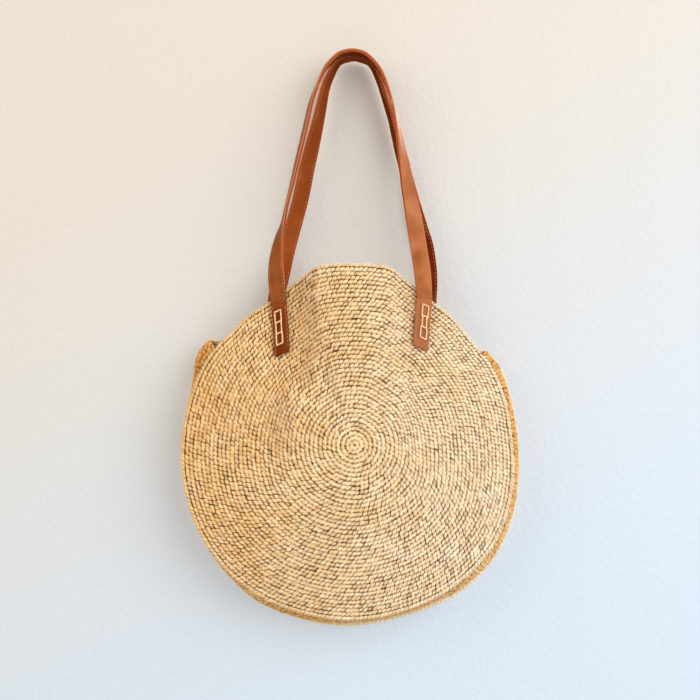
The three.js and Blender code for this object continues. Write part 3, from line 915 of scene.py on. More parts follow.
@dataclass
class Crochet:
    """Stitches of one piece of crochet in their flat working shape.

    The unevenness, the wander and the twist are how much a stitch's size, place and turn differ from
    the even ones, and the tints how much its own colour and the yarn's slow drift count.
    """

    stitch: Stitch
    seed: int
    wander: float = 0.2
    unevenness: float = 0.04
    twist: float = 0.06
    own_tint: float = 0.09
    drift_tint: float = 0.16
    drift: int = 11
    increase: int = 6
    block: int = 12
    bm: BMesh = field(default_factory=new_work)

    def __post_init__(self) -> None:
        """Starts the random numbers of this piece."""
        self.random = np.random.default_rng(self.seed)

    def join(self, part: BMesh) -> None:
        """Adds a finished round or row, and frees it.

        Args:
            part: The round or row.
        """
        mesh = new_mesh("part", part)
        self.bm.from_mesh(mesh)
        bpy.data.meshes.remove(mesh)

    def round(self, number: int, radius: float, outward: int) -> None:
        """Works one closed round about the Y axis, with more stitches than the last one.

        Args:
            number: Number of the round, from 0.
            radius: Radius of the round's middle.
            outward: Sign of Y on the outer face.
        """
        each = number + 1
        sector = 2 * math.pi / self.increase
        start = Matrix.Rotation(self.random.uniform(0, 2 * math.pi), 4, "Y")
        part = new_work()
        verts = self.stitch.add(part, start @ Matrix.Translation((0, 0, radius)), outward)
        copied(part, verts, sector / each * (each - 1), (0, 0, 0), each - 1)
        copied(part, part.verts[:], sector * (self.increase - 1), (0, 0, 0), self.increase - 1)
        self.join(part)

    def row(self, offset: float, length: float, outward: int) -> None:
        """Works one straight row along X.

        Args:
            offset: Place of the row along Z.
            length: Length of the row.
            outward: Sign of Y on the outer face.
        """
        blocks = round(length / self.stitch.pitch / self.block)
        step = length / (blocks * self.block)
        part = new_work()
        verts = self.stitch.add(part, Matrix.Translation((step / 2, 0, offset)), outward)
        copied(part, verts, 0, (step, 0, 0), self.block - 1)
        copied(part, part.verts[:], 0, (step * self.block, 0, 0), blocks - 1)
        self.join(part)

    def finish(
        self, name: str, bend: Bend, depth: Callable[[np.ndarray], np.ndarray], look: Look
    ) -> bpy.types.Object:
        """Gives each stitch its own small irregularities and bends the whole to its place.

        Args:
            name: Name of the piece.
            bend: Rule from the working shape to the object.
            depth: Rule that gives how far out of the pits a working place is, from 0 to 1.
            look: Look of the straw.

        Returns:
            The new piece.
        """
        mesh = new_mesh(name, self.bm)
        each = self.stitch.vertices
        stitches = vertex_places(mesh).reshape(-1, each, 3)
        count = len(stitches)
        middles = stitches.mean(axis=1, keepdims=True)
        size = 1 + self.random.normal(0, self.unevenness, (count, 1, 1))
        shift = self.random.normal(0, self.wander, (count, 1, 3))
        tilt = self.random.normal(0, self.twist, (count, 1, 3))
        arms = (stitches - middles) * size
        moved = middles + arms + np.cross(tilt, arms) + shift
        mesh.vertices.foreach_set("co", moved.astype(np.float32).ravel())
        own = self.random.normal(0, 1, count)
        steps = self.random.normal(0, 1, count + self.drift - 1)
        kernel = np.hanning(self.drift) / np.hanning(self.drift).sum()
        slow = np.convolve(steps, kernel, mode="valid")
        tint = np.clip(self.own_tint * own + self.drift_tint * slow, -0.5, 0.5)
        working = place_mesh(mesh, bend)
        add_attribute(mesh, "tint", np.repeat(tint, each))
        # The depth sets where the straw's painted shade falls down between the stitches.
        add_attribute(mesh, "depth", np.clip(depth(working), 0, 1))
        return make_piece(name, mesh, look)


@dataclass
class CrochetPanel:
    """One round panel: its rounds of stitches over a thin web of painted shade that closes the gaps."""

    name: str
    panel: HungPanel
    straw: Look
    seed: int
    rounds: int = 40
    bands: tuple[tuple[str, int, int], ...] = (("centre", 0, 23), ("middle", 23, 33), ("outer", 33, 40))
    eyelet: float = 0.7
    web: float = 0.8
    web_rings: int = 56
    web_sectors: int = 240

    def stitches(self) -> list[bpy.types.Object]:
        """Works the rounds, in bands from the centre out.

        Returns:
            One piece a band.
        """
        pitch = PANEL_RADIUS / self.rounds
        pieces = []
        for place, (band, first, last) in enumerate(self.bands):
            work = Crochet(Stitch(), self.seed + place)
            for number in range(first, last):
                opening = self.eyelet if number == 0 else 0
                work.round(number, (number + 0.5) * pitch + opening, self.panel.outward)
            pieces.append(work.finish(
                f"{self.name}_{band}_rounds", self.panel.bend,
                lambda flat: np.abs(flat[:, 1]) / (PANEL_THICKNESS / 2), self.straw,
            ))
        return pieces

    def painted_shade_web(self) -> bpy.types.Object:
        """Makes the thin web of painted shade down between the stitches.

        Returns:
            The new piece.
        """
        bm = new_work()
        radii = np.linspace(0, PANEL_RADIUS + 2 * RIM_GAP, self.web_rings)
        outline = [bm.verts.new((0, -self.web / 2, r)) for r in radii]
        outline += [bm.verts.new((0, self.web / 2, r)) for r in reversed(radii)]
        edges = [bm.edges.new(pair) for pair in zip(outline, outline[1:])]
        bmesh.ops.spin(
            bm, geom=outline + edges, cent=(0, 0, 0), axis=(0, 1, 0), dvec=(0, 0, 0),
            angle=2 * math.pi, steps=self.web_sectors, use_merge=True,
        )
        bmesh.ops.remove_doubles(bm, verts=bm.verts, dist=1e-3)
        bmesh.ops.recalc_face_normals(bm, faces=bm.faces)
        return make_web(f"{self.name}_web", bm, self.panel.bend, self.straw)

    def build(self) -> None:
        """Makes the panel and lets it stand for its CAD node."""
        for piece in [self.painted_shade_web(), *self.stitches()]:
            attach(piece, Body.BAG.value)
            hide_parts(self.name)


@dataclass
class RimRows:
    """Rows along the panels' rims: the two seams, the mouth's edging and the gusset between them."""

    straw: Look
    gold: Look
    gusset_rows: int = 9
    row_pitch: float = 4.4
    row_height: float = 3.3
    row_rise: float = 1.6
    lap: float = 1.4
    mouth_lap: float = 0.6
    swell: float = 1.35
    cord_core: float = 0.25
    web: float = 0.8
    web_cuts: tuple[int, int] = (240, 18)
    flat_radius: float = 200.0

    def cord_bend(self, panel: HungPanel, start: float, radius: float) -> Bend:
        """Rule that lays a straight cord along a rim.

        Args:
            panel: Panel whose rim it follows.
            start: Angle at which it starts, in degrees.
            radius: Radius of the cord.

        Returns:
            The rule.
        """
        def rule(flat: np.ndarray) -> np.ndarray:
            """Takes the straight cord to the rim.

            Args:
                flat: Places on the straight cord, one row each.

            Returns:
                Places on the object, one row each.
            """
            origin, away, through = panel.rim_frame(start + flat[:, 0] / self.degree)
            middle = origin + away * (RIM_GAP + radius)
            return middle + away * flat[:, 2:3] + through * flat[:, 1:2]
        return rule

    def cord(self, name: str, panel: HungPanel, start: float, end: float, radius: float, seed: int) -> None:
        """Works one chain of stitches along a rim.

        Args:
            name: Name of the CAD node that it stands for.
            panel: Panel whose rim it follows.
            start: Angle at which it starts, in degrees.
            end: Angle at which it ends.
            radius: Radius of the cord.
            seed: Seed of its irregularities.
        """
        scale = radius / SEAM_RADIUS
        stitch = Stitch(
            pitch=4.8, length=6.8 * scale, width=2.7 * max(1, scale), height=4.9 * scale, spread=0.88,
            lean=42, tip=0,
        )
        work = Crochet(stitch, seed, wander=0.1)
        work.row(0, (end - start) * self.degree, panel.outward)
        piece = work.finish(
            name + "_stitches", self.cord_bend(panel, start, radius),
            lambda flat: np.hypot(flat[:, 1], flat[:, 2]) / radius - self.cord_core, self.straw,
        )
        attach(piece, Body.BAG.value)
        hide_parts(name)

    def gusset_middle(self, angle: np.ndarray, share: np.ndarray) -> np.ndarray:
        """Middle surface of the gusset.

        Args:
            angle: Angles from the top, in degrees.
            share: Shares of the way from the front seam to the rear one.

        Returns:
            Places on the object, one row each.
        """
        start = FRONT.cord_middle(angle, SEAM_RADIUS)
        end = BACK.cord_middle(angle, SEAM_RADIUS)
        bulge = (4 * station_value(GUSSET_BULGE, 1, angle))[:, None]
        turn = np.radians(angle)
        away = np.column_stack([np.sin(turn), np.zeros_like(turn), np.cos(turn)])
        across = end - start
        clear = SEAM_RADIUS + RIM_GAP
        first = clear / np.linalg.norm(across + away * bulge, axis=1)
        last = 1 - clear / np.linalg.norm(across - away * bulge, axis=1)
        place = (first + (last - first) * share)[:, None]
        return start + across * place + away * bulge * place * (1 - place)

    def gusset_bend(self, flat: np.ndarray) -> np.ndarray:
        """Takes the flat band, with X along it and Z from front to back, to its place.

        Args:
            flat: Places on the flat band, one row each.

        Returns:
            Places on the object, one row each.
        """
        angle = CORNER_ANGLE - self.lap + flat[:, 0] / self.degree
        share = flat[:, 2] / self.band_width
        along = self.gusset_middle(angle + 1, share) - self.gusset_middle(angle - 1, share)
        across = self.gusset_middle(angle, share + 0.05) - self.gusset_middle(angle, share - 0.05)
        return self.gusset_middle(angle, share) + unit(np.cross(along, across)) * flat[:, 1:2]

    @property
    def degree(self) -> float:
        """Length of one degree of a cord or of the gusset in its flat shape."""
        return math.radians(1) * self.flat_radius

    @property
    def band_width(self) -> float:
        """Width of the flat band."""
        return self.gusset_rows * self.row_pitch

    @property
    def band_length(self) -> float:
        """Length of the flat band."""
        return (360 - 2 * (CORNER_ANGLE - self.lap)) * self.degree

    def gusset_web(self) -> bpy.types.Object:
        """Makes the thin web of painted shade between the gusset's rows.

        Returns:
            The new piece.
        """
        length, width = self.band_length, self.band_width
        bm = new_work()
        bmesh.ops.create_cube(bm, size=1)
        bmesh.ops.scale(bm, verts=bm.verts, vec=(length, self.web, width + self.row_pitch / 2))
        bmesh.ops.translate(bm, verts=bm.verts, vec=(length / 2, 0, width / 2))
        for axis, limit, cuts in zip(((1, 0, 0), (0, 0, 1)), (length, width), self.web_cuts):
            for cut in range(1, cuts):
                bmesh.ops.bisect_plane(
                    bm, geom=bm.verts[:] + bm.edges[:] + bm.faces[:],
                    plane_co=Vector(axis) * (limit * cut / cuts), plane_no=axis, dist=1e-4,
                )
        return make_web("gusset_web", bm, self.gusset_bend, self.gold)

    def gusset(self) -> None:
        """Works the gusset's rows over a thin web."""
        work = Crochet(Stitch(length=5.9, height=self.row_height), 51)
        for number in range(self.gusset_rows):
            work.row(self.band_width * (number + 0.5) / self.gusset_rows, self.band_length, 1)
        rows = work.finish(
            "gusset_rows", self.gusset_bend, lambda flat: np.abs(flat[:, 1]) / self.row_rise, self.gold
        )
        for piece in (rows, self.gusset_web()):
            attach(piece, Body.BAG.value)
            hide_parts("gusset")

    def build(self) -> None:
        """Makes all the rows along the rims."""
        first, last = CORNER_ANGLE - self.lap / 2, 360 - CORNER_ANGLE + self.lap / 2
        mouth = CORNER_ANGLE - self.mouth_lap
        self.cord("front_seam", FRONT, first, last, SEAM_RADIUS, 61)
        self.cord("rear_seam", BACK, first, last, SEAM_RADIUS * self.swell, 62)
        self.cord("front_mouth_edging", FRONT, -mouth, mouth, EDGING_RADIUS, 63)
        self.cord("rear_mouth_edging", BACK, -mouth, mouth, EDGING_RADIUS, 64)
        self.gusset()


def spline(points: np.ndarray, share: np.ndarray) -> np.ndarray:
    """Catmull-Rom curve through points, with the parameter even from point to point.

    Args:
        points: Points, one row each.
        share: Shares of the way from the first point to the last.

    Returns:
        Places on the curve, one row each.
    """
    ends = [2 * points[0] - points[1], *points, 2 * points[-1] - points[-2]]
    table = np.array(ends)
    place = np.clip(share, 0, 1) * (len(points) - 1)
    index = np.minimum(place.astype(int), len(points) - 2)
    t = (place - index)[:, None]
    before, start, end, after = (table[index + k] for k in range(4))
    rise, fall = 0.5 * (end - before), 0.5 * (after - start)
    cubic = 2 * start - 2 * end + rise + fall
    square = -3 * start + 3 * end - 2 * rise - fall
    return start + rise * t + square * t**2 + cubic * t**3


# Sewing: length, width and height of a stitch, its pitch, and how far it stands off the leather
SEWN_STITCH = (2.9, 0.75, 0.55)
SEWING_PITCH = 4.2
SEWING_LIFT = 0.02


def sew(bm: BMesh, start: tuple[float, float, float], step: tuple[float, float, float], copies: int) -> None:
    """Sews a straight row of slim stitches.

    Args:
        bm: Mesh that takes them.
        start: Middle of the first stitch.
        step: Way from a stitch to the next one, along X or Y.
        copies: Number of stitches after the first.
    """
    length, width, height = SEWN_STITCH
    if step[0]:
        shape = Matrix.Diagonal((length, width, height, 1)) @ Matrix.Rotation(math.pi / 2, 4, "Y")
    else:
        shape = Matrix.Diagonal((width, length, height, 1)) @ Matrix.Rotation(math.pi / 2, 4, "X")
    at = Matrix.Translation(start) @ shape
    made = bmesh.ops.create_uvsphere(bm, u_segments=5, v_segments=4, radius=0.5, matrix=at)
    copied(bm, made["verts"], 0, step, copies)


def edge_share(across: np.ndarray, width: float, start: float, spread: float = 0.04) -> np.ndarray:
    """Share of the lighter edge colour, partly the edge's own finish and partly a painted highlight, at
    places across a piece of leather.

    Args:
        across: Places from the middle.
        width: Width of the leather.
        start: Share of the half width at which the edge's colour sets in.
        spread: Share of it over which the colour grows.

    Returns:
        One share a place.
    """
    return smooth_step((np.abs(across) / (width / 2) - start) / spread)


@dataclass(frozen=True)
class Strap:
    """One leather strap, from fold to arch on the left and on the right.

    The taper is the length over which the leather widens, the section and the samples say how finely
    it is laid along its route, and the fold's measures say where the fold of its joint lies, though the
    strap is not bent there.
    """

    name: str
    body: Body
    arch: tuple[float, float, float]
    left_seat: Seat
    right_seat: Seat
    left: Rows
    right: Rows
    bearing: float = 5.0
    taper: float = 32.0
    samples: int = 8
    nudge: float = 1e-4
    section: float = 2.0
    rounding: float = 0.36
    sewing_start: float = 6.0
    sewing_inset: float = 2.1
    fold_lift: float = 2.0
    fold_below: float = 1.0
    fold_above: float = 16.0

    def leg(self, seat: Seat, stations: Rows, side: int) -> list[np.ndarray]:
        """Sections of one leg from its fold to the arch.

        Args:
            seat: Seat of the leg's end.
            stations: Places and turns of the leather along the leg.
            side: Minus one for the left leg, one for the right.

        Returns:
            Origins, directions across the leather, outward normals and widths.
        """
        frame = seat.matrix()
        out = frame[:, 2]
        fold = np.array([seat.x, seat.y, seat.z]) + out * TAB_MIDDLE + frame[:, 1] * GAP / 2
        arch = np.array(self.arch) + np.array([side * self.bearing / 2, 0, 0])
        places = np.array([fold, *[row[:3] for row in stations], arch])
        turns = np.array([-seat.outward * 90, *[row[3] for row in stations], 0], float)
        share = np.linspace(0, 1, len(places) * self.samples)
        origin = spline(places, share)
        ahead = spline(places, np.minimum(share + self.nudge, 1))
        behind = spline(places, np.maximum(share - self.nudge, 0))
        tangent = unit((ahead - behind) * -side)
        turn = np.radians(spline(turns[:, None], share))
        wide = unit(np.array([0, 1, 0]) - tangent * tangent[:, 1:2])
        wide = wide * np.cos(turn) + np.cross(tangent, wide) * np.sin(turn)
        normal = np.cross(tangent, wide)
        wide[0], normal[0] = frame[:, 0] * side, out
        wide[-1], normal[-1] = (0, 1, 0), (0, 0, 1)
        origin[0] = fold - frame[:, 1] * GAP
        widened = smooth_step(np.linalg.norm(origin - fold, axis=1) / self.taper)
        size = TAB_WIDTH + (STRAP_WIDTH - TAB_WIDTH) * widened
        return [origin, wide, normal, size[:, None] / STRAP_WIDTH]

    def route(self) -> tuple[np.ndarray, np.ndarray]:
        """Joins both legs into the route of the whole strap.

        Returns:
            Its sections, one row each, and how far along each of them is.
        """
        left = self.leg(self.left_seat, self.left, -1)
        right = [part[::-1] for part in self.leg(self.right_seat, self.right, 1)]
        table = np.hstack([np.vstack(pair) for pair in zip(left, right)])
        steps = np.linalg.norm(np.diff(table[:, :3], axis=0), axis=1)
        return table, np.concatenate([[0], np.cumsum(steps)])

    def bend(self) -> tuple[Bend, float]:
        """Makes the rule that lays a straight strap along the route.

        Returns:
            The rule and the strap's length.
        """
        table, along = self.route()

        def rule(flat: np.ndarray) -> np.ndarray:
            """Takes the straight strap to its route.

            Args:
                flat: Places on the straight strap, one row each.

            Returns:
                Places on the object, one row each.
            """
            columns = [np.interp(flat[:, 0], along, table[:, k]) for k in range(table.shape[1])]
            rows = np.column_stack(columns)
            wide, out = unit(rows[:, 3:6]), unit(rows[:, 6:9])
            return rows[:, :3] + wide * flat[:, 1:2] * rows[:, 9:10] + out * flat[:, 2:3]
        return rule, float(along[-1])

    def ply(self, part: str, low: float, high: float, look: Look) -> None:
        """Cuts one ply of leather with rounded edges and lays it along the route.

        Args:
            part: Outer or lining.
            low: Inner face's height from the strap's middle.
            high: Outer face's height.
            look: Look of the leather.
        """
        rule, length = self.bend()
        steps = round(length / self.section)
        bm = bmesh.new()
        made = bmesh.ops.create_circle(bm, cap_ends=False, segments=4, radius=math.sqrt(0.5))
        square = Matrix.Rotation(math.pi / 4, 3, "Z")
        bmesh.ops.rotate(bm, verts=made["verts"], cent=(0, 0, 0), matrix=square)
        bmesh.ops.scale(bm, verts=made["verts"], vec=(STRAP_WIDTH, high - low, 1))
        bmesh.ops.bevel(
            bm, geom=bm.verts[:], offset=(high - low) * self.rounding, segments=3, profile=0.5,
            affect="VERTICES", material=-1,
        )
        faces = [e for e in bm.edges if e.calc_length() > STRAP_WIDTH / 2]
        bmesh.ops.subdivide_edges(bm, edges=faces, cuts=5)
        upright = Matrix(((0, 0, 1), (1, 0, 0), (0, 1, 0))).to_4x4()
        bmesh.ops.transform(bm, verts=bm.verts, matrix=upright)
        bmesh.ops.translate(bm, verts=bm.verts, vec=(0, 0, (low + high) / 2))
        bmesh.ops.spin(
            bm, geom=bm.verts[:] + bm.edges[:], cent=(0, 0, 0), axis=(1, 0, 0),
            dvec=(length / steps, 0, 0), angle=0, steps=steps,
        )
        bmesh.ops.holes_fill(bm, edges=[e for e in bm.edges if e.is_boundary], sides=0)
        bmesh.ops.recalc_face_normals(bm, faces=bm.faces)
        mesh = new_mesh(part, bm)
        working = place_mesh(mesh, rule)
        add_attribute(mesh, "edge", edge_share(working[:, 1], STRAP_WIDTH, 0.955))
        node = f"{self.name}_strap_{part}"
        piece = make_piece(f"{node}_leather", mesh, look)
        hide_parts(node)
        self.blend(piece)

    def seam(self, look: Look) -> None:
        """Sews both plies together along both edges, with stitches on both faces.

        Args:
            look: Look of the thread.
        """
        rule, length = self.bend()
        bm = bmesh.new()
        count = int((length - 2 * self.sewing_start) / SEWING_PITCH)
        for side in (-1, 1):
            for face in (-1, 1):
                across = side * (STRAP_WIDTH / 2 - self.sewing_inset)
                height = face * (STRAP_THICKNESS / 2 + SEWING_LIFT)
                sew(bm, (self.sewing_start, across, height), (SEWING_PITCH, 0, 0), count)
        mesh = new_mesh("seam", bm)
        place_mesh(mesh, rule)
        self.blend(make_piece(f"{self.name}_strap_sewing", mesh, look))

    def blend(self, piece: bpy.types.Object) -> None:
        """Bakes a piece's place into its mesh; it works out where the two folds lie but does not bend the
        piece.

        Args:
            piece: Piece that crosses the folds.
        """
        left, right = self.left_seat, self.right_seat
        lift = np.array([[0, 0, TAB_MIDDLE + self.fold_lift]])
        start = (left.place(lift) + right.place(lift))[0] / 2
        across = np.array([right.x - left.x, 0, right.z - left.z])
        across /= np.linalg.norm(across)
        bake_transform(piece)


FRONT_STRAP = Strap(
    "front", Body.FRONT_STRAP, (0, -10.5, 1.8), SEATS["front_left"], SEATS["front_right"],
    (
        (-82.4, -24.8, -266, 87), (-83.8, -23.8, -249, 73), (-83.8, -22.9, -233, 56),
        (-82, -22, -217, 41), (-79.6, -21.3, -203, 25), (-76.4, -20.6, -191, 13),
        (-72, -19.2, -169, 8), (-66.2, -17.6, -145, 11), (-60.6, -16.3, -120, 13.5),
        (-55.2, -15.1, -97, 14), (-50.2, -14, -75, 14), (-45, -13, -52.5, 12), (-36.4, -12.1, -30, 7),
        (-30, -11.5, -16.6, 5), (-22.4, -11, -7.8, 3), (-13.2, -10.7, -0.9, 1),
    ),
    (
        (79.2, -24.9, -263, 90), (77.4, -23.6, -243, 90), (73.6, -22.3, -218, 88),
        (69.9, -21.4, -194, 82), (65.9, -20.4, -171, 62), (61.3, -19, -148, 47),
        (58.1, -17.8, -125, 38), (54.4, -16.3, -103, 25), (51, -15.2, -84, 17), (47.2, -14.2, -66, 9),
        (42.6, -13, -48, 6), (37.3, -12.2, -31.6, 5.5), (31.4, -11.6, -18.8, 5),
        (23.2, -11, -8.7, 3), (13.4, -10.7, -1, 1),
    ),
)
REAR_STRAP = Strap(
    "rear", Body.REAR_STRAP, (2.5, 9.5, 2.4), SEATS["rear_left"], SEATS["rear_right"],
    (
        (-87.2, 16.8, -270, -90), (-81.8, 16.7, -250, -90), (-76.6, 16.4, -226, -90),
        (-70.6, 15.8, -202, -89), (-65.2, 15, -182, -85), (-58.5, 14.2, -156, -77),
        (-52.3, 13.4, -126, -64), (-46.3, 12.6, -101, -52), (-40.7, 12, -78, -40),
        (-35.5, 11.3, -55, -30), (-30.8, 10.7, -33, -22), (-25.2, 10.2, -18.5, -16),
        (-14.8, 9.8, -2, -7),
    ),
    (
        (88.5, 16.8, -270, -90), (88.8, 16.7, -256, -90), (88, 16.3, -237, -88),
        (84.2, 15.7, -212, -84), (78, 14.9, -192, -77), (71.4, 14.2, -170, -64),
        (65.4, 13.6, -147, -48), (59.8, 13, -122, -31), (54, 12.4, -103, -21), (49.4, 12, -86.5, -13),
        (45, 11.5, -68, -10), (40.2, 11, -52, -9), (35.6, 10.6, -37, -8), (29.6, 10.2, -19.5, -8),
        (20.6, 9.8, -3, -6),
    ),
)


@dataclass
class StrapEnd:
    """Sewn end of a strap: the leather end, the patch behind the panel and the ladder of thread.

    Heights of the thread are those of a run's middle, and its shares are of the way between two
    holes.
    """

    name: str
    seat: Seat
    leather: Look
    lining: Look
    thread: Look
    sewing: Look
    rungs: int = 4
    ladder_width: float = 6.6
    ladder_offset: float = 2.0
    rung_pitch: float = 12.4
    first_rung: float = 8.0
    middle_inset: float = 0.9
    tab_slant: float = 6.4
    strand: float = 0.55
    lay_radius: float = 0.75
    lay_length: float = 3.2
    sample: float = 0.55
    steep: float = 0.7
    thread_lift: float = 0.62
    rung_share: float = 0.15
    rung_rise: float = 0.12
    rung_dip: float = 0.5
    rail_share: float = 0.1
    rail_dip: float = 1.2
    sewing_start: float = 4.5
    sewing_end: float = 3.5
    sewing_inset: float = 1.5
    tab_rounding: float = 0.45
    patch_rounding: float = 0.3
    sharp_angle: float = 50.0
    flat_facing: float = 0.98

    @property
    def slope(self) -> float:
        """Rise of the end's slanted foot for each millimetre across."""
        return self.seat.outer_side * self.tab_slant / TAB_WIDTH

    def softened(self, part: str, edge: float, look: Look) -> None:
        """Copies a leather piece of the frame and rounds its edges.

        Args:
            part: Name of the piece after the end's own name.
            edge: Width of the rounding in millimetres.
            look: Look of the leather.
        """
        node = f"{self.name}_{part}"
        bm = bmesh.new()
        bm.from_mesh(bpy.data.objects[node].data)
        bmesh.ops.remove_doubles(bm, verts=bm.verts, dist=1e-6)
        bmesh.ops.dissolve_limit(bm, angle_limit=math.radians(1), verts=bm.verts, edges=bm.edges)
        limit = math.radians(self.sharp_angle)
        sharp = [e for e in bm.edges if len(e.link_faces) == 2 and e.calc_face_angle() > limit]
        bmesh.ops.bevel(
            bm, geom=sharp, offset=edge * MM, segments=2, profile=0.5, affect="EDGES", material=-1,
            clamp_overlap=True,
        )
        bmesh.ops.triangulate(bm, faces=[f for f in bm.faces if len(f.verts) > 4])
        out = Vector(self.seat.matrix()[:, 2])
        for face in bm.faces:
            face.smooth = abs(face.normal.dot(out)) < self.flat_facing
        mesh = new_mesh(node, bm)
        local = vertex_places(mesh) / MM - np.array([self.seat.x, self.seat.y, self.seat.z])
        across = (local @ self.seat.matrix())[:, 0]
        add_attribute(mesh, "edge", edge_share(across, TAB_WIDTH, 0.96))
        piece = make_piece(f"{node}_leather", mesh, look)
        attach(piece, Body.BAG.value)
        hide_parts(node)

    def hole(self, side: int, rung: int) -> np.ndarray:
        """Place of a hole across and up from the fold line."""
        across = side * self.ladder_width / 2
        return np.array([
            across + self.seat.outer_side * self.ladder_offset,
            -self.first_rung - rung * self.rung_pitch - across * self.slope,
        ])

    def thread_runs(self) -> list[np.ndarray]:
        """Runs of thread: the loop over each rung and the rails inside and out.

        Returns:
            Each run's points, across, up and out from the fold line.
        """
        outside = TAB_FACE + GAP + self.thread_lift
        inside = -(TAB_BOTTOM + PATCH_THICKNESS + GAP + self.thread_lift)
        runs = []
        for rung in range(self.rungs):
            left, right = self.hole(-1, rung), self.hole(1, rung)
            near = left * (1 - self.rung_share) + right * self.rung_share
            far = left * self.rung_share + right * (1 - self.rung_share)
            top, shoulder = outside + self.rung_rise, outside - self.rung_dip
            runs.append(np.array([
                [*left, inside], [*left, shoulder], [*near, top],
                [*far, top], [*right, shoulder], [*right, inside],
            ]))
        for side in (-1, 1):
            for rung in range(self.rungs - 1):
                inset = np.array([-side * self.middle_inset if rung == 1 else 0, 0])
                upper, lower = self.hole(side, rung) + inset, self.hole(side, rung + 1) + inset
                near = upper * (1 - self.rail_share) + lower * self.rail_share
                far = upper * self.rail_share + lower * (1 - self.rail_share)
                for height, dip in ((outside, outside - self.rail_dip), (inside, inside + self.rail_dip)):
                    runs.append(np.array([
                        [*upper, dip], [*near, height], [*((upper + lower) / 2), height],
                        [*far, height], [*lower, dip],
                    ]))
        return runs

    def strands(self, run: np.ndarray) -> list[np.ndarray]:
        """Paths of the two strands that twist round each other along a run.

        Args:
            run: Points of the run, across, up and out from the fold line.

        Returns:
            Each strand's points, in the same way.
        """
        length = np.linalg.norm(np.diff(run, axis=0), axis=1).sum()
        share = np.linspace(0, 1, max(6, int(length / self.sample)))
        middle = spline(run, share)
        tangent = unit(np.gradient(middle, axis=0))
        steep = np.abs(tangent[:, 2:3]) > self.steep
        first = unit(np.cross(tangent, np.where(steep, [[1.0, 0.3, 0.0]], [[0.0, 0.0, 1.0]])))
        second = np.cross(tangent, first)
        paths = []
        for start in (0, math.pi):
            turn = (share * length / self.lay_length * 2 * math.pi + start)[:, None]
            aside = (first * np.cos(turn) + second * np.sin(turn)) * self.strand * self.lay_radius
            paths.append(middle + aside)
        return paths

    def lacing(self) -> None:
        """Lays two twisted strands of thread along every run."""
        node = f"{self.name}_lacing"
        curve = bpy.data.curves.new(node, "CURVE")
        curve.dimensions = "3D"
        curve.bevel_depth = self.strand * MM
        curve.bevel_resolution = 1
        curve.use_fill_caps = True
        for run in self.thread_runs():
            for path in self.strands(run):
                placed = self.seat.place(path) * MM
                line = curve.splines.new("POLY")
                line.points.add(len(placed) - 1)
                line.points.foreach_set("co", np.hstack([placed, np.ones((len(placed), 1))]).ravel())
        holder = add_object(node, curve)
        mesh = bpy.data.meshes.new_from_object(holder)
        bpy.data.objects.remove(holder)
        mesh.shade_smooth()
        piece = make_piece(f"{node}_thread", mesh, self.thread)
        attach(piece, Body.BAG.value)
        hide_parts(node)

    def seam(self) -> None:
        """Sews along both long edges of the end."""
        bm = bmesh.new()
        for side in (-1, 1):
            across = side * (TAB_WIDTH / 2 - self.sewing_inset)
            length = TAB_LENGTH + across * self.slope - self.sewing_start - self.sewing_end
            start = (across, -self.sewing_start, TAB_FACE + SEWING_LIFT)
            sew(bm, start, (0, -SEWING_PITCH, 0), int(length / SEWING_PITCH))
        mesh = new_mesh("seam", bm)
        place_mesh(mesh, self.seat.place)
        piece = make_piece(f"{self.name}_tab_sewing", mesh, self.sewing)
        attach(piece, Body.BAG.value)

    def build(self) -> None:
        """Makes the end, its patch, its lacing and its sewing."""
        self.softened("tab", self.tab_rounding, self.leather)
        self.softened("patch", self.patch_rounding, self.lining)
        self.lacing()
        self.seam()


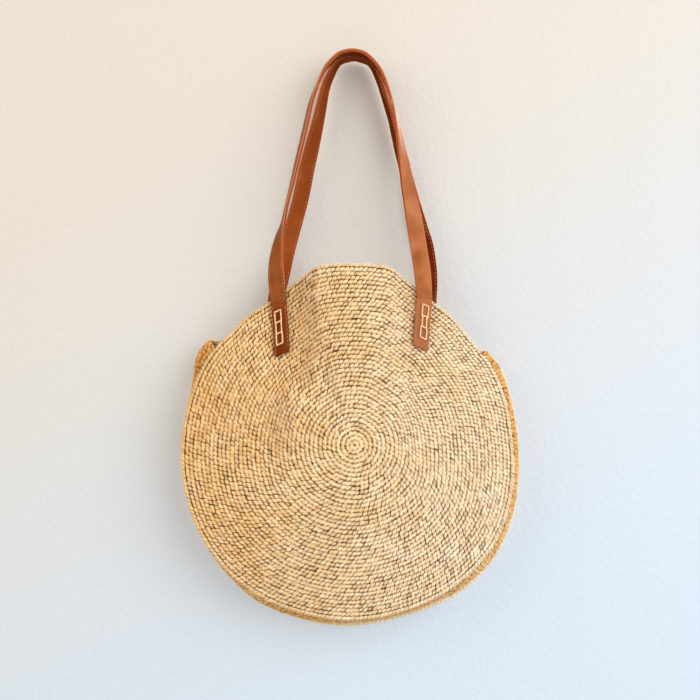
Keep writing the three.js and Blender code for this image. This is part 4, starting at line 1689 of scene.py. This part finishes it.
@dataclass(frozen=True)
class Studio:
    """Camera, soft lights, and the plain wall and floor."""

    eye: tuple[float, float, float] = (-0.0023, -1.028, -0.3314)
    aim: tuple[float, float, float] = (0, 0, -0.4)
    lens: float = 46.75
    wall_y: float = 0.026
    floor_z: float = -0.85
    half_side: float = 3.0
    room: Colour = (1.0, 0.97, 0.94)
    room_light: float = 0.57
    # The wall's colour turns from warm at the top left to cool at the bottom right, a painted light, and its
    # glow lightens the shadows on it, also painted light.
    wall_left: Colour = (192, 187, 179)
    wall_right: Colour = (182, 194, 206)
    wall_sideways: float = 0.45
    wall_turning: Range = (-0.1, 0.8)
    wall_glow: float = 0.3
    wall_grain: Pattern = (150.0, 3)

    def camera(self) -> None:
        """Places the camera at the photograph's angle."""
        data = bpy.data.cameras.new("camera")
        data.lens = self.lens
        data.sensor_width = 36.0
        data.clip_start = 0.01
        camera = add_object("camera", data)
        camera.location = self.eye
        camera.rotation_euler = (math.pi / 2, 0, 0)
        bpy.context.scene.camera = camera

    def lamp(
        self, name: str, place: tuple, energy: float, size: float, colour: tuple, shines: bool = True
    ) -> None:
        """Adds a soft square lamp that points at the middle of the bag.

        Args:
            name: Name of the lamp.
            place: Its place in metres.
            energy: Its power in watts.
            size: Its side in metres.
            colour: Its linear colour.
            shines: Whether smooth surfaces mirror it.
        """
        data = bpy.data.lights.new(name, "AREA")
        data.energy = energy
        data.size = size
        data.color = colour
        lamp = add_object(name, data)
        lamp.location = place
        lamp.visible_glossy = shines
        way = Vector(self.aim) - Vector(place)
        lamp.rotation_euler = way.to_track_quat("-Z", "Y").to_euler()

    def world(self) -> None:
        """Sets the even light of a pale room."""
        world = bpy.data.worlds.new("room")
        world.use_nodes = True
        background = world.node_tree.nodes["Background"]
        background.inputs[0].default_value = (*self.room, 1.0)
        background.inputs[1].default_value = self.room_light
        bpy.context.scene.world = world

    def plaster(self) -> Material:
        """Pale plaster that only a camera before it sees, so that it shades nothing; its warm to cool colour
        and its glow are painted light.

        Returns:
            The finished material.
        """
        shade = Shading("pale_plaster")
        place, right, up = shade.coordinates()
        # Painted light: warm at the top left, cool at the bottom right, and a glow of its own colour.
        diagonal = shade.math("SUBTRACT", shade.math("MULTIPLY", right, self.wall_sideways), up)
        colour = shade.blend(shade.ramp(diagonal, self.wall_turning), self.wall_left, self.wall_right)
        shade.dress(
            Base_Color=colour, Roughness=0.9, Specular_IOR_Level=0.1, Emission_Color=colour,
            Emission_Strength=self.wall_glow,
        )
        shade.bump(shade.noise(place, self.wall_grain), distance=0.0012, strength=0.9)
        path = shade.node("ShaderNodeLightPath").outputs["Is Camera Ray"]
        back = shade.node("ShaderNodeNewGeometry").outputs["Backfacing"]
        seen = shade.math("MULTIPLY", path, shade.math("SUBTRACT", 1.0, back))
        clear = shade.node("ShaderNodeBsdfTransparent").outputs[0]
        mixed = shade.node("ShaderNodeMixShader", {0: seen, 1: clear, 2: shade.surface.outputs[0]})
        shade.fill(shade.tree.nodes["Material Output"], {"Surface": mixed.outputs[0]})
        return shade.material

    def surface(self, name: str, corner: Matrix, material: Material) -> None:
        """Adds one flat surface of the set.

        Args:
            name: Name of the surface.
            corner: Its place and turn.
            material: Its finish.
        """
        bm = bmesh.new()
        bmesh.ops.create_grid(bm, x_segments=1, y_segments=1, size=self.half_side, matrix=corner)
        mesh = new_mesh(name, bm)
        mesh.materials.append(material)
        thing = add_object(name, mesh)
        thing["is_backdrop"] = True

    def build(self) -> None:
        """Sets up the camera, the lamps, the wall and the floor."""
        self.camera()
        self.world()
        self.lamp("key", (1.5, -1.7, 0.35), 52.0, 2.2, (1.0, 0.985, 0.97))
        self.lamp("warm_side", (-1.6, -1.3, 0.35), 18.0, 1.6, (1.0, 0.8, 0.54))
        self.lamp("rear", (0.6, 1.6, 0.3), 30.0, 1.5, (1.0, 0.98, 0.95))
        self.lamp("cool_floor", (0.1, -1.3, -1.7), 4.0, 1.2, (0.74, 0.88, 1.0), False)
        plaster = self.plaster()
        upright = Matrix.Translation((0, self.wall_y, 0)) @ Matrix.Rotation(math.pi / 2, 4, "X")
        self.surface("wall", upright, plaster)
        self.surface("floor", Matrix.Translation((0, 0, self.floor_z)), plaster)


def corners() -> list[list[float]]:
    """Lowest and highest corner of the shown object."""
    return [list(corner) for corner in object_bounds()]


def main() -> None:
    """Builds every piece of the bag around its frame."""
    logging.basicConfig(level=logging.INFO, format="%(relativeCreated)d ms %(message)s")
    scene = bpy.context.scene
    for thing in list(bpy.data.objects):
        bpy.data.objects.remove(thing)
    scene.view_settings.view_transform = "Standard"
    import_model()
    Studio().build()
    straw = Look(RaffiaFinish("raffia_straw").material(), Slot.RAFFIA)
    # The gusset's gold straw, with a wider painted light from left to right and more painted light near the
    # bottom.
    gold = Look(RaffiaFinish(
        "raffia_gold", deep=(222, 160, 84), mid=(240, 190, 118), pale=(252, 228, 186),
        pit=(118, 62, 10), hollow=(90, 46, 4), reach=(-0.6, 0.6), low_light_paleness=0.4, mottle=0.7,
    ).material(), Slot.RAFFIA_GOLD)
    leather = Look(LeatherFinish("tan_leather").material(), Slot.LEATHER)
    # The lining's colours are painted light and shade: dark on the right, where the front strap shades it,
    # and lighter on the left, where it is lit.
    lining = Look(LeatherFinish(
        "leather_inside", face=(96, 34, 8), dark=(138, 68, 30), left_deep=(158, 84, 42),
        edge=(168, 90, 54), roughness=0.6, sheen=0.0, grain=0.0002,
    ).material(), Slot.LINING)
    lacing = Look(ThreadFinish("cream_thread").material(), Slot.THREAD)
    sewing = Look(
        ThreadFinish("tan_thread", light=(200, 132, 88), dark=(150, 88, 50)).material(), Slot.THREAD
    )
    # The ends' leather keeps the painted shade below the folds, without sheen.
    ends = Look(LeatherFinish("sewn_leather", roughness=0.6, sheen=0.0).material(), Slot.LEATHER)
    CrochetPanel("front_panel", FRONT, straw, 11).build()
    CrochetPanel("back_panel", BACK, straw, 21).build()
    RimRows(straw, gold).build()
    for strap in (FRONT_STRAP, REAR_STRAP):
        half = STRAP_THICKNESS / 2
        strap.ply("outer", half - OUTER_PLY, half, leather)
        strap.ply("lining", -half, -half + LINING_PLY, lining)
        strap.seam(sewing)
    for name, seat in SEATS.items():
        inset = 0.9 if name == "front_right" else 0.3
        StrapEnd(name, seat, ends, lining, lacing, sewing, middle_inset=inset).build()


if __name__ == "__main__":
    main()
